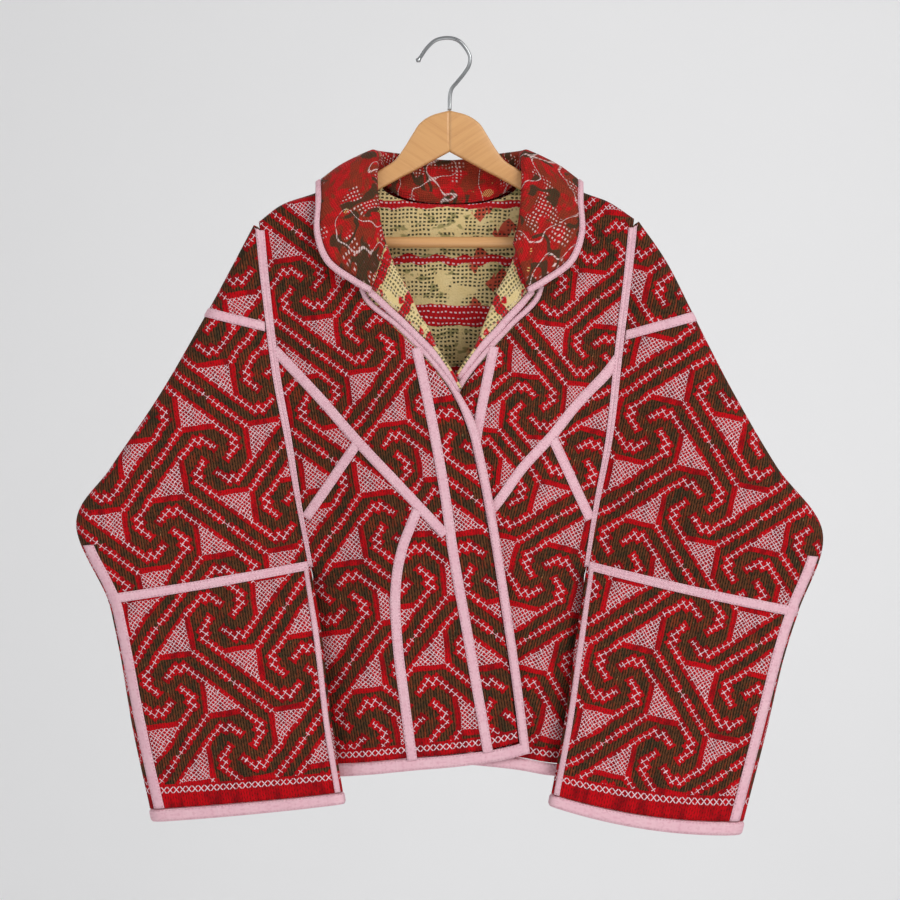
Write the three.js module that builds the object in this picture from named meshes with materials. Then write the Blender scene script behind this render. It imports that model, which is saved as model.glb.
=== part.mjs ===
// A cropped jacket of thick stitched cloth, every seam covered and every edge bound with tape,
// on a wooden hanger with a wire hook. Millimetres, Z up, the wearer faces -Y.
// The origin is the underside of the hook's bend, where a rail carries it.
// "right" is the wearer's right, which lies at negative X.
import * as THREE from "three";

// Driving dimensions
const CLOTH = 3;
const TAPE = 1;
const TAPE_LIFT = 0.8;
const SEAM_GAP = 0.7;
const TAPE_WIDTH = 10;
const BINDING_WIDTH = 9;
const HEM_BINDING_WIDTH = 12;
const BINDING_GAP = 1;
const RIDGE_RADIUS = 9;
const LAP_DEPTH = 7.5;
const LAP_FROM = -122;
const LAP_FULL = -58;
const ROLL_RADIUS = 4.2;
const HANGER_THICKNESS = 12;
const BAR_DIAMETER = 11;
const WIRE_DIAMETER = 4;
const GRID = 26;
const HALF_CLOTH = CLOTH / 2;
const BOUND_HALF = HALF_CLOTH + TAPE;
const TAPE_INNER = HALF_CLOTH + TAPE_LIFT;
const TAPE_STEP = 20;
const SEAM = SEAM_GAP / 2;
const ARMHOLE_GAP = 1;
const ELBOW_GAP = 0.8;
const UNDERARM_GAP = 0.8;

// Finishes
const FINISH = {
  cloth: { color: 0x9a1a20, roughness: 0.95, metalness: 0 },
  reverse: { color: 0xc8a965, roughness: 0.95, metalness: 0 },
  tape: { color: 0xe9bcd2, roughness: 0.8, metalness: 0 },
  wood: { color: 0xd9a066, roughness: 0.45, metalness: 0 },
  steel: { color: 0xb8babd, roughness: 0.3, metalness: 1 },
};

const jacket = new THREE.Group();

function add(name, geometry, finish) {
  const mesh = new THREE.Mesh(geometry, new THREE.MeshStandardMaterial(FINISH[finish]));
  mesh.name = name;
  jacket.add(mesh);
}

// A table has its columns named once, then a row for each section
function table(columns, rows) {
  const names = columns.split(" ");
  return rows.map((row) => Object.fromEntries(names.map((name, i) => [name, row[i]])));
}

// A smooth value between the rows of a table, read down one column by another
function profile(rows, key, value) {
  const slope = (i) => {
    const a = rows[Math.max(i - 1, 0)];
    const b = rows[Math.min(i + 1, rows.length - 1)];
    return (b[value] - a[value]) / (b[key] - a[key]);
  };
  const falling = rows[1][key] < rows[0][key];
  return (at) => {
    let i = 0;
    while (i < rows.length - 2 && (falling ? at < rows[i + 1][key] : at > rows[i + 1][key])) i += 1;
    const span = rows[i + 1][key] - rows[i][key];
    const t = THREE.MathUtils.clamp((at - rows[i][key]) / span, 0, 1);
    const t2 = t * t;
    const t3 = t2 * t;
    return (
      (2 * t3 - 3 * t2 + 1) * rows[i][value] + (t3 - 2 * t2 + t) * span * slope(i) +
      (3 * t2 - 2 * t3) * rows[i + 1][value] + (t3 - t2) * span * slope(i + 1)
    );
  };
}

// A smooth line in the front view through the rows of a table, by the share of its length
function line(rows) {
  const curve = new THREE.CatmullRomCurve3(rows.map((row) => new THREE.Vector3(row.x, 0, row.z)));
  const at = (share) => {
    const point = curve.getPointAt(THREE.MathUtils.clamp(share, 0, 1));
    return { x: point.x, z: point.z };
  };
  at.span = curve.getLength();
  return at;
}

const stretch = (at, from, to) => (t) => at(from + (to - from) * t);
const straight = (a, b) => (t) => ({ x: a.x + (b.x - a.x) * t, z: a.z + (b.z - a.z) * t });

// The share of a line at which it reaches a height
function shareAtHeight(at, z) {
  let low = 0;
  let high = 1;
  for (let i = 0; i < 30; i += 1) {
    const middle = (low + high) / 2;
    if (at(middle).z > z) low = middle;
    else high = middle;
  }
  return (low + high) / 2;
}

// The side of the body: armhole seam down to the underarm, then the side seam to the hem
const UNDERARM_Z = -528;
const SIDE_ROWS = {
  right: table("z x", [
    [-184, -191], [-250, -184.5], [-336, -174], [-398, -162.5], [-467, -151], [-528, -139.5],
    [-545, -136.5], [-620, -152], [-742, -166],
  ]),
  left: table("z x", [
    [-181, 185], [-238, 179], [-307, 170.5], [-398, 160.5], [-467, 147.5], [-528, 137.5],
    [-545, 134.5], [-620, 150], [-742, 164],
  ]),
};
const SIDE_X = {
  right: profile(SIDE_ROWS.right, "z", "x"),
  left: profile(SIDE_ROWS.left, "z", "x"),
};
const SIDE_LINE = { right: line(SIDE_ROWS.right), left: line(SIDE_ROWS.left) };

// The shoulder seam, over the hanger's arms
const SHOULDER_ROWS = {
  right: table("x z", [[-191, -184], [-168, -167], [-134, -155], [-76, -129.5], [0, -95]]),
  left: table("x z", [[185, -181], [159, -164], [136, -155.5], [76, -129.5], [0, -95]]),
};
const SHOULDER_Z = {
  right: profile(SHOULDER_ROWS.right, "x", "z"),
  left: profile(SHOULDER_ROWS.left, "x", "z"),
};
const NECK_POINT = { right: { x: -76, z: -129.5 }, left: { x: 76, z: -129.5 } };

// The body's depth by height: both faces at the side seams and at the middle, and how round its
// sides are (1 keeps an open edge, a half makes a round one)
const DEPTH_ROWS = table("z frontSide frontMiddle backSide backMiddle round", [
  [-95, -9, -12, 9, 13, 1],
  [-200, -9, -20, 9, 17, 1],
  [-300, -8.5, -27, 8.5, 21.5, 1],
  [-420, -6, -31, 6, 24, 1],
  [-500, -3, -32, 3, 25, 1],
  [-528, -2.2, -32, 2.2, 25, 1],
  [-545, 8, -32, 9.4, 25.5, 0.66],
  [-610, 7.8, -32.5, 9, 27, 0.5],
  [-742, 7.4, -34, 8.6, 29, 0.5],
]);
const DEPTH = Object.fromEntries(
  Object.keys(DEPTH_ROWS[0]).map((column) => [column, profile(DEPTH_ROWS, "z", column)]),
);
const SWELL_POWER = 2.3;

// Folds: a ridge (positive) or trough between two ends, its half width and height
const FOLDS = {
  front: table("x1 z1 x2 z2 width height", [
    [168, -215, 146, -440, 13, 4],
    [146, -235, 122, -450, 25, -6],
    [-150, -240, -115, -330, 26, 4],
    [-66, -560, -92, -742, 26, 4],
    [100, -560, 92, -742, 26, 4],
  ]),
  back: table("x1 z1 x2 z2 width height", [
    [-60, -320, -95, -730, 26, 7],
    [70, -300, 100, -730, 26, 7],
    [0, -420, 10, -730, 24, -5],
  ]),
};

function foldHeight(rows, x, z) {
  return rows.reduce((sum, fold) => {
    const dx = fold.x2 - fold.x1;
    const dz = fold.z2 - fold.z1;
    const along = ((x - fold.x1) * dx + (z - fold.z1) * dz) / (dx * dx + dz * dz);
    const near = THREE.MathUtils.clamp(along, 0, 1);
    const away = Math.hypot(x - fold.x1 - near * dx, z - fold.z1 - near * dz);
    const taper = Math.sin(Math.PI * THREE.MathUtils.clamp(0.08 + 0.84 * near, 0, 1));
    return sum + fold.height * taper * Math.exp(-((away / fold.width) ** 2));
  }, 0);
}

const roundOver = (distance, radius) =>
  Math.sqrt(Math.max(1 - (1 - THREE.MathUtils.clamp(distance / radius, 0, 1)) ** 2, 0));

// How far the lapping front has come forward over the other one
const lapShare = (x, z) =>
  THREE.MathUtils.smoothstep(x, LAP_FROM, LAP_FULL) * THREE.MathUtils.smoothstep(-z, 170, 280);

// The depth of the body's cloth at a place in the front view; face is -1 in front, 1 behind
function bodyDepth(x, z, face, lap = 0) {
  const side = x < 0 ? "right" : "left";
  const share = Math.min(Math.abs(x / SIDE_X[side](z)), 1);
  const name = face < 0 ? "front" : "back";
  const edge = DEPTH[name + "Side"](z);
  const rise = (1 - share ** SWELL_POWER) ** DEPTH.round(z);
  const middle = (DEPTH[name + "Middle"](z) - edge) * rise;
  const folds = foldHeight(FOLDS[name], x, z) * Math.sqrt(Math.max(1 - share ** 6, 0));
  const over = lapShare(x, z) * lap;
  const ridge = roundOver(SHOULDER_Z[side](x) - z, RIDGE_RADIUS);
  return (edge + middle + face * (folds + over)) * ridge;
}

// A surface read in the front view becomes points with outward normals
function bodySurface(face, lap = 0) {
  const step = 0.4;
  return ({ x, z }) => {
    const dx = (bodyDepth(x + step, z, face, lap) - bodyDepth(x - step, z, face, lap)) / (2 * step);
    const dz = (bodyDepth(x, z + step, face, lap) - bodyDepth(x, z - step, face, lap)) / (2 * step);
    return {
      point: new THREE.Vector3(x, bodyDepth(x, z, face, lap), z),
      normal: new THREE.Vector3(-dx, 1, -dz).normalize().multiplyScalar(face),
    };
  };
}
const FRONT = { right: bodySurface(-1, LAP_DEPTH), left: bodySurface(-1) };
const BACK = bodySurface(1);

// Four seams make a panel: top and bottom run across, left and right run down
function panel(top, bottom, left, right) {
  const mix = (axis, s, t) =>
    (1 - t) * top(s)[axis] + t * bottom(s)[axis] + (1 - s) * left(t)[axis] + s * right(t)[axis] -
    (1 - s) * (1 - t) * top(0)[axis] - s * (1 - t) * top(1)[axis] -
    (1 - s) * t * bottom(0)[axis] - s * t * bottom(1)[axis];
  return (s, t) => ({ x: mix("x", s, t), z: mix("z", s, t) });
}

const evenly = (count) => Array.from({ length: count + 1 }, (_, i) => i / count);

// A closed wall over a grid of surface places, from one offset along the normals to another
function wall(at, across, down, inner, outer) {
  const columns = across.length;
  const rows = down.length;
  const places = down.map((t) => across.map((s) => at(s, t)));
  const positions = [];
  for (const offset of [outer, inner]) {
    for (const row of places) {
      for (const { point, normal } of row) {
        positions.push(...point.clone().addScaledVector(normal, offset).toArray());
      }
    }
  }
  const back = rows * columns;
  const index = [];
  const quad = (a, b, c, d) => index.push(a, b, c, a, c, d);
  for (let j = 0; j < rows - 1; j += 1) {
    for (let i = 0; i < columns - 1; i += 1) {
      const a = j * columns + i;
      quad(a, a + 1, a + 1 + columns, a + columns);
      quad(back + a, back + a + columns, back + a + 1 + columns, back + a + 1);
    }
  }
  for (let i = 0; i < columns - 1; i += 1) {
    const low = (rows - 1) * columns + i;
    quad(i, back + i, back + i + 1, i + 1);
    quad(low, low + 1, back + low + 1, back + low);
  }
  for (let j = 0; j < rows - 1; j += 1) {
    const a = j * columns;
    const b = a + columns - 1;
    quad(a, a + columns, back + a + columns, back + a);
    quad(b, back + b, back + b + columns, b + columns);
  }
  return closedMesh(positions, index);
}

// Faces are turned to point outwards
function closedMesh(positions, index) {
  let volume = 0;
  const corner = (k) => new THREE.Vector3().fromArray(positions, index[k] * 3);
  for (let k = 0; k < index.length; k += 3) {
    volume += corner(k).dot(corner(k + 1).cross(corner(k + 2)));
  }
  if (volume < 0) index.reverse();
  const geometry = new THREE.BufferGeometry();
  geometry.setAttribute("position", new THREE.Float32BufferAttribute(positions, 3));
  geometry.setIndex(index);
  return geometry;
}

const cell = (length) => Math.max(Math.round(length / GRID), 1);

// A body panel is its four seams, brought in a little at seams and bound edges
function bodyPanel(name, surface, seams, inset) {
  const shape = panel(seams.top, seams.bottom, seams.left, seams.right);
  const size = (a, b) => Math.hypot(a.x - b.x, a.z - b.z);
  const width = (t) => size(shape(0, t), shape(0.5, t)) + size(shape(0.5, t), shape(1, t));
  const height = (s) => size(shape(s, 0), shape(s, 0.5)) + size(shape(s, 0.5), shape(s, 1));
  const place = (s, t) => {
    const wide = Math.max(width(t), 6);
    const tall = Math.max(height(s), 6);
    const left = inset.left / wide;
    const right = inset.right / wide;
    const top = inset.top / tall;
    const bottom = inset.bottom / tall;
    return surface(shape(left + s * (1 - left - right), top + t * (1 - top - bottom)));
  };
  const across = seams.across ?? evenly(cell(Math.max(width(0.1), width(0.5), width(0.9))));
  const down = seams.down ?? evenly(cell(Math.max(height(0.1), height(0.5), height(0.9))));
  add(name, wall(place, across, down, -HALF_CLOTH, HALF_CLOTH), "cloth");
}

// A tape laid over a seam, from the points of the cloth under it, moved out; from and to are
// the lengths left free at its two ends
function seamTape(name, surface, course, from, to) {
  const step = 0.5 / course.span;
  const place = (s, t) => {
    const share = (from + (course.span - from - to) * t) / course.span;
    const centre = course(share);
    const ahead = course(Math.min(share + step, 1));
    const behind = course(Math.max(share - step, 0));
    const length = Math.hypot(ahead.x - behind.x, ahead.z - behind.z);
    const reach = (s - 0.5) * TAPE_WIDTH;
    return surface({
      x: centre.x - ((ahead.z - behind.z) / length) * reach,
      z: centre.z + ((ahead.x - behind.x) / length) * reach,
    });
  };
  const down = evenly(Math.max(Math.round(course.span / TAPE_STEP), 2));
  add(name, wall(place, [0, 1], down, TAPE_INNER, TAPE_INNER + TAPE), "tape");
}

// A line beside another, at a distance that may change with the share
function beside(at, distance) {
  const step = 0.003;
  const offset = (share) => {
    const a = at(Math.max(share - step, 0));
    const b = at(Math.min(share + step, 1));
    const length = Math.hypot(b.x - a.x, b.z - a.z);
    const away = typeof distance === "function" ? distance(share) : distance;
    const place = at(share);
    return { x: place.x - ((b.z - a.z) / length) * away, z: place.z + ((b.x - a.x) / length) * away };
  };
  offset.span = at.span;
  return offset;
}

// A binding round a bound edge: the edge, the cloth inside it and both faces of the tape
function binding(name, surface, course, shares, width) {
  const inner = beside(course, width);
  const place = (s, t) => {
    const share = shares[Math.round(t * (shares.length - 1))];
    return surface(s === 0 ? course(share) : inner(share));
  };
  const down = shares.map((_, i) => i / (shares.length - 1));
  add(name, wall(place, [0, 1], down, -BOUND_HALF, BOUND_HALF), "tape");
}

const between = (from, to, count) => evenly(count).map((t) => from + (to - from) * t);

// Seams and edges of the fronts in the front view
const FRONT_EDGE = {
  right: line(table("x z", [
    [-76, -129.5], [-84, -165], [-89, -205], [-82, -257], [-50, -286], [-21, -315], [5, -348],
    [25, -384], [36, -427], [46, -479], [57, -547], [69, -628], [80, -714],
  ])),
  left: line(table("x z", [
    [76, -129.5], [84, -165], [89, -205], [87, -255], [58.5, -286], [32, -315], [10, -343],
    [-8, -375], [-24, -430], [-36, -500], [-48, -580], [-62, -718],
  ])),
};
const HEM = {
  right: line(table("x z", [
    [-166, -742], [-105, -738], [-36, -731], [9, -727], [55, -720.5], [80, -714],
  ])),
  left: line(table("x z", [[164, -742], [100, -737], [67, -731], [0, -724], [-62, -718]])),
};
const DIAGONAL = {
  right: line(table("x z", [
    [-177.5, -309], [-128.5, -361.5], [-90.5, -404.5], [-47.5, -450.5], [-1.5, -499.5],
  ])),
  left: line(table("x z", [
    [169.5, -318], [154.5, -338.5], [124.5, -370], [101.5, -398.5], [72.5, -430.5],
    [45.5, -467.5], [16, -500],
  ])),
};
const BRANCH = {
  right: straight({ x: -90.5, z: -404.5 }, { x: -147.3, z: -486 }),
  left: straight({ x: 101.5, z: -398.5 }, { x: 143.5, z: -488 }),
};
BRANCH.right.span = 99;
BRANCH.left.span = 99;
const PLACKET = {
  right: line(table("x z", [
    [-35, -301], [-19, -375.5], [-4.5, -456.5], [3.5, -513.5], [18.5, -599.5], [40, -723],
  ])),
  left: line(table("x z", [
    [46, -299.5], [26.5, -401.5], [14, -500], [2, -590], [-14, -722],
  ])),
};
const CURVE = line(table("x z", [
  [-30.5, -468.5], [-47.5, -513.5], [-53.5, -553.5], [-51.5, -605.5], [-44.5, -662.5],
  [-35.5, -731],
]));

// The share of a line nearest to a place
function shareNear(at, place) {
  const shares = evenly(400);
  const away = (share) => Math.hypot(at(share).x - place.x, at(share).z - place.z);
  return shares.reduce((best, share) => (away(share) < away(best) ? share : best), 0);
}

// Two lines end to end, by the share of their whole length
function joined(a, b, shareOfA) {
  return (t) => (t < shareOfA ? a(t / shareOfA) : b((t - shareOfA) / (1 - shareOfA)));
}

const turned = (at) => (t) => at(1 - t);
const EDGES = { top: SEAM, bottom: SEAM, left: SEAM, right: SEAM };

// The bound edge of a front starts where the neck comes out from under the collar
const BOUND_FROM = {
  right: shareNear(FRONT_EDGE.right, { x: -82, z: -257 }),
  left: shareNear(FRONT_EDGE.left, { x: 87, z: -255 }),
};
const INWARD = { right: -1, left: 1 };
const PLACKET_TOP = 19;

for (const side of ["right", "left"]) {
  const surface = FRONT[side];
  const sideLine = SIDE_LINE[side];
  const diagonal = DIAGONAL[side];
  const branch = BRANCH[side];
  const placket = PLACKET[side];
  const shoulder = line(SHOULDER_ROWS[side].slice(0, 4));
  const start = BOUND_FROM[side];
  const edge = beside(FRONT_EDGE[side], (share) => INWARD[side] * THREE.MathUtils.lerp(
    SEAM, BINDING_WIDTH + BINDING_GAP, THREE.MathUtils.smoothstep(share, start - 0.05, start - 0.01),
  ));
  const hemIn = HEM_BINDING_WIDTH + BINDING_GAP;
  const hem = beside(HEM[side], -INWARD[side] * hemIn);
  const armholeAt = (place) => shareAtHeight(sideLine, place.z);
  const fork = shareNear(diagonal, branch(0));
  const meet = PLACKET_TOP / placket.span;
  const neckAt = shareNear(edge, placket(meet));
  const placketEnd = shareNear(placket, hem(shareNear(hem, placket(1))));

  bodyPanel("front_yoke_" + side, surface, {
    top: shoulder,
    left: stretch(sideLine, 0, armholeAt(diagonal(0))),
    bottom: diagonal,
    right: joined(
      stretch(edge, 0, neckAt),
      stretch(placket, meet, shareNear(placket, diagonal(1))),
      0.48,
    ),
    across: [0, 0.09, 0.18, 0.28, 0.38, 0.5, 0.62, 0.75, 0.88, 1],
    down: [0, 0.01, 0.03, 0.12, 0.2, 0.25, 0.29, 0.31, 0.33, 0.36, 0.4, 0.44, 0.48, 0.58, 0.68,
      0.78, 0.89, 1],
  }, EDGES);

  bodyPanel("front_side_" + side, surface, {
    top: stretch(diagonal, 0, fork),
    left: stretch(sideLine, armholeAt(diagonal(0)), armholeAt(branch(1))),
    bottom: turned(branch),
    right: () => branch(0),
  }, { ...EDGES, right: 12 });

  const lowerTop = side === "right" ? shareNear(diagonal, CURVE(0)) : 1;
  const sideEnd = 1 - hemIn / sideLine.span;
  const inner = side === "right" ? CURVE : stretch(placket, shareNear(placket, diagonal(1)), 1);
  const innerEnd = shareNear(inner, hem(shareNear(hem, inner(1))));
  bodyPanel("front_lower_" + side, surface, {
    top: joined(turned(branch), stretch(diagonal, fork, lowerTop), 0.55),
    left: stretch(sideLine, armholeAt(branch(1)), sideEnd),
    bottom: stretch(hem, 0, shareNear(hem, inner(1))),
    right: stretch(inner, 0, innerEnd),
    across: [0, 0.006, 0.02, 0.05, 0.12, 0.25, 0.4, 0.55, 0.7, 0.85, 1],
  }, EDGES);

  const edgeEnd = 1 - hemIn / FRONT_EDGE[side].span;
  bodyPanel("front_placket_" + side, surface, {
    top: () => placket(meet),
    left: stretch(placket, meet, placketEnd),
    bottom: stretch(hem, shareNear(hem, placket(1)),
      1 - (BINDING_WIDTH + BINDING_GAP) / HEM[side].span),
    right: stretch(edge, neckAt, edgeEnd),
  }, { top: 8, bottom: SEAM, left: SEAM, right: SEAM });

  binding("binding_front_" + side, surface, beside(FRONT_EDGE[side], 0),
    between(start, 1 - hemIn / FRONT_EDGE[side].span, 26), INWARD[side] * BINDING_WIDTH);
  binding("binding_hem_" + side, surface, HEM[side],
    [0.003, 0.012, 0.03, ...between(0.07, 1, 16)], -INWARD[side] * HEM_BINDING_WIDTH);

  seamTape("tape_placket_" + side, surface, placket, 30, 16);
  seamTape("tape_diagonal_" + side, surface, diagonal, side === "right" ? 17 : 21, 12);
  seamTape("tape_branch_" + side, surface, branch, 9, 17);
}

const hemRight = beside(HEM.right, HEM_BINDING_WIDTH + BINDING_GAP);
const curveEnd = shareNear(CURVE, hemRight(shareNear(hemRight, CURVE(1))));
const placketLow = shareNear(PLACKET.right, DIAGONAL.right(1));
const placketEnd = shareNear(PLACKET.right, hemRight(shareNear(hemRight, PLACKET.right(1))));
bodyPanel("front_centre_right", FRONT.right, {
  top: stretch(DIAGONAL.right, shareNear(DIAGONAL.right, CURVE(0)), 1),
  left: stretch(CURVE, 0, curveEnd),
  bottom: stretch(hemRight, shareNear(hemRight, CURVE(1)), shareNear(hemRight, PLACKET.right(1))),
  right: stretch(PLACKET.right, placketLow, placketEnd),
}, EDGES);
seamTape("tape_curve_right", FRONT.right, CURVE, 12, 17);

// The back: one panel from the shoulder seams and the neck down to its own hem
const BACK_TOP = line(table("x z", [
  [-191, -184], [-168, -167], [-134, -155], [-76, -129.5], [-66, -150], [-40, -161], [0, -164],
  [40, -161], [66, -150], [76, -129.5], [136, -155.5], [159, -164], [185, -181],
]));
const BACK_HEM = line(table("x z", [[-166, -742], [-90, -745], [0, -746], [90, -745], [164, -742]]));
bodyPanel("back_panel", BACK, {
  top: BACK_TOP,
  bottom: beside(BACK_HEM, HEM_BINDING_WIDTH + BINDING_GAP),
  left: stretch(SIDE_LINE.right, 0, 0.978),
  right: stretch(SIDE_LINE.left, 0, 0.978),
  across: [0, 0.006, 0.02, 0.06, 0.16, 0.25, 0.31, 0.36, 0.43, 0.5, 0.57, 0.64, 0.69, 0.75, 0.84,
    0.94, 0.98, 0.994, 1],
  down: [0, 0.006, 0.02, 0.08, 0.16, 0.24, 0.32, 0.4, 0.48, 0.56, 0.62, 0.66, 0.74, 0.83, 0.92, 1],
}, EDGES);
binding("binding_hem_back", BACK, BACK_HEM,
  [0.003, 0.012, 0.03, ...between(0.07, 0.93, 18), 0.97, 0.988, 0.997], HEM_BINDING_WIDTH);

// Each sleeve by stations from the shoulder point to the cuff: its outer fold, its inner seam,
// the depth of its middle and its half thickness at both, the swell between, the inner fold's
// roundness, and how far the station bows down
const STATION = "at outerX outerZ innerX innerZ depthIn depthOut halfIn halfOut swell foldIn sag";
const SLEEVE_ROWS = {
  right: table(STATION, [
    [0, -194, -184, -191, -187, 0, -1, 9, 8, 0, 0, 0],
    [1, -219.5, -232.5, -186, -238, 0, -2, 9, 9, 2, 0, 0],
    [2, -242.5, -275, -179.5, -290, 0, -3, 8.5, 10, 5, 0, 0],
    [3, -290, -357, -168, -372, 0, -5, 7.2, 11, 8, 0, 0],
    [4, -339, -430, -156.5, -432, 0, -7, 5.5, 12, 10, 0, 0],
    [5, -374, -486, -148, -482, 0, -8, 3.6, 12, 11, 0, 0],
    [6, -342, -562, -139.5, -528, 0, -9, 2.2, 12, 10, 3, 1],
    [6.4, -336, -586, -134, -558, -16, -10, 5, 12, 8, 5, 1],
    [7, -329, -622, -126.5, -605, -29, -11, 8, 12, 6, 8, 1],
    [8, -315, -697, -117, -685, -38, -13, 9, 12, 5, 9, 1],
    [9, -297, -784, -104, -763, -43.5, -14, 9.5, 12, 5, 9, 1],
  ]),
  left: table(STATION, [
    [0, 187.5, -181, 185, -184, 0, -1, 9, 8, 0, 0, 0],
    [1, 217, -224, 179, -238, 0, -2, 9, 9, 2, 0, 0],
    [2, 245, -279, 171.5, -299, 0, -3, 8.5, 10, 5, 0, 0],
    [3, 283, -353, 165, -368, 0, -5, 7.2, 11, 8, 0, 0],
    [4, 328, -430, 154, -432, 0, -7, 5.5, 12, 10, 0, 0],
    [5, 374, -496, 145, -482, 0, -8, 3.6, 12, 11, 0, 0],
    [6, 349, -575, 137.5, -528, 0, -9, 2.2, 12, 10, 3, 2],
    [6.4, 342, -596, 132.5, -558, -16, -10, 5, 12, 8, 5, 2],
    [7, 333, -628, 125.5, -605, -29, -11, 8, 12, 6, 8, 3],
    [8, 314, -703, 114, -685, -38, -13, 9, 12, 5, 9, 6],
    [9, 291, -797, 99, -765, -43.5, -14, 9.5, 12, 5, 9, 8],
  ]),
};
const CAP_STATION = 2;
const ELBOW_STATION = 6;
const CUFF_STATION = 9;
const FIRST_STATION = 0.3;
const STATION_LENGTH = 85;
const FOLD_RADIUS = 16;

function sleeveShape(side) {
  const rows = SLEEVE_ROWS[side];
  const column = Object.fromEntries(
    Object.keys(rows[0]).map((name) => [name, profile(rows, "at", name)]),
  );
  return (station) => {
    const row = Object.fromEntries(Object.keys(column).map((name) => [name, column[name](station)]));
    if (station < ELBOW_STATION) {
      row.innerX = SIDE_X[side](row.innerZ);
      row.halfIn = -DEPTH.frontSide(row.innerZ);
      row.depthIn = 0;
    }
    row.width = Math.hypot(row.outerX - row.innerX, row.outerZ - row.innerZ);
    return row;
  };
}

// A place on the sleeve's cloth: round is 0 at the inner seam in front, 1 at the outer fold and
// 2 at the inner seam behind
function sleevePoint(shape, station, round) {
  const row = shape(station);
  const share = round <= 1 ? round : 2 - round;
  const face = round <= 1 ? -1 : 1;
  const lerp = THREE.MathUtils.lerp;
  const bow = 4 * share * (1 - share);
  const outer = roundOver((1 - share) * row.width, Math.min(FOLD_RADIUS, row.width * 0.5));
  const opening = THREE.MathUtils.smoothstep(station, 5.6, 7);
  const inner = lerp(1, roundOver(share * row.width, Math.max(row.foldIn, 1)), opening);
  const half = (lerp(row.halfIn, row.halfOut, share) + row.swell * bow) * outer * inner;
  return new THREE.Vector3(
    lerp(row.innerX, row.outerX, share),
    lerp(row.depthIn, row.depthOut, share) + face * half,
    lerp(row.innerZ, row.outerZ, share) - row.sag * bow,
  );
}

function sleeveSurface(side) {
  const shape = sleeveShape(side);
  const turn = side === "right" ? -1 : 1;
  const step = 0.003;
  return (station, round) => {
    const wrap = (value) => (value < 0 ? value + 2 : value > 2 ? value - 2 : value);
    const open = station < ELBOW_STATION;
    const before = open ? Math.max(round - step, 0) : wrap(round - step);
    const after = open ? Math.min(round + step, 2) : wrap(round + step);
    const down = sleevePoint(shape, station + step, round).sub(
      sleevePoint(shape, station - step, round),
    );
    const across = sleevePoint(shape, station, after).sub(sleevePoint(shape, station, before));
    const normal = down.cross(across).normalize().multiplyScalar(turn);
    return { point: sleevePoint(shape, station, round), normal };
  };
}

const OPEN_HALF = [0, 0.18, 0.36, 0.54, 0.72, 0.86, 0.94, 0.985];
const CLOSED_HALF = [0.012, 0.035, 0.07, 0.25, 0.45, 0.65, 0.82, 0.92, 0.985];
const around = (half) => [...half, 1, ...half.map((share) => 2 - share).reverse()];
const OUTER_SEAM = profile(table("at round", [
  [6, 0.96], [7, 0.955], [8, 0.95], [9, 0.94],
]), "at", "round");

function sleevePanel(name, surface, from, to, rounds, rows, inset) {
  const place = (s, t) => {
    const station = from + inset.top + t * (to - from - inset.top - inset.bottom);
    return surface(station, rounds(s, station));
  };
  add(name, wall(place, evenly(rounds.count - 1), evenly(rows), -HALF_CLOTH, HALF_CLOTH), "cloth");
}

// Picks the place round the sleeve from a list of places, kept between two limits
function spread(places, low, high) {
  const pick = (s, station) => {
    const at = places[Math.round(s * (places.length - 1))];
    return THREE.MathUtils.clamp(at, low(station), high(station));
  };
  pick.count = places.length;
  return pick;
}

for (const side of ["right", "left"]) {
  const surface = sleeveSurface(side);
  const shape = sleeveShape(side);
  const mm = (station, size) => size / shape(station).width;
  const armholeGap = (at) => ARMHOLE_GAP * (1 + THREE.MathUtils.smoothstep(at, 4, 6));
  const seam = ELBOW_GAP / STATION_LENGTH;
  const whole = spread(
    around(OPEN_HALF), (at) => mm(at, armholeGap(at)), (at) => 2 - mm(at, armholeGap(at)),
  );
  sleevePanel("sleeve_cap_" + side, surface, FIRST_STATION, CAP_STATION, whole, 3,
    { top: 0, bottom: seam });
  sleevePanel("sleeve_upper_" + side, surface, CAP_STATION, ELBOW_STATION, whole, 9,
    { top: seam, bottom: seam });
  const frontRound = [0, ...CLOSED_HALF.slice(0, 8), 1];
  const backRound = [0, 1, ...CLOSED_HALF.map((share) => 2 - share).reverse(), 2];
  const frontPick = spread(
    frontRound,
    (at) => mm(at, UNDERARM_GAP),
    (at) => OUTER_SEAM(at) - mm(at, SEAM),
  );
  const underarmGap = (at) => UNDERARM_GAP *
    (1 + 2.5 * (1 - THREE.MathUtils.smoothstep(at, ELBOW_STATION, ELBOW_STATION + 0.5)));
  const backPick = spread(
    backRound,
    (at) => OUTER_SEAM(at) + mm(at, SEAM),
    (at) => 2 - mm(at, underarmGap(at)),
  );
  const bound = (HEM_BINDING_WIDTH + BINDING_GAP) / STATION_LENGTH;
  sleevePanel("sleeve_lower_front_" + side, surface, ELBOW_STATION, CUFF_STATION, frontPick, 7,
    { top: seam, bottom: bound });
  sleevePanel("sleeve_lower_back_" + side, surface, ELBOW_STATION, CUFF_STATION, backPick, 7,
    { top: seam, bottom: bound });
}

const SIDE_TAPE_LENGTH = 176;
const SIDE_TAPE_INSET = 6.5;

// Tapes over the sleeves' seams, laid by station along the sleeve and place round it
function sleeveTape(name, place, alongCount) {
  add(
    name,
    wall(place, evenly(2), evenly(alongCount), TAPE_INNER, TAPE_INNER + TAPE),
    "tape",
  );
}

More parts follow.
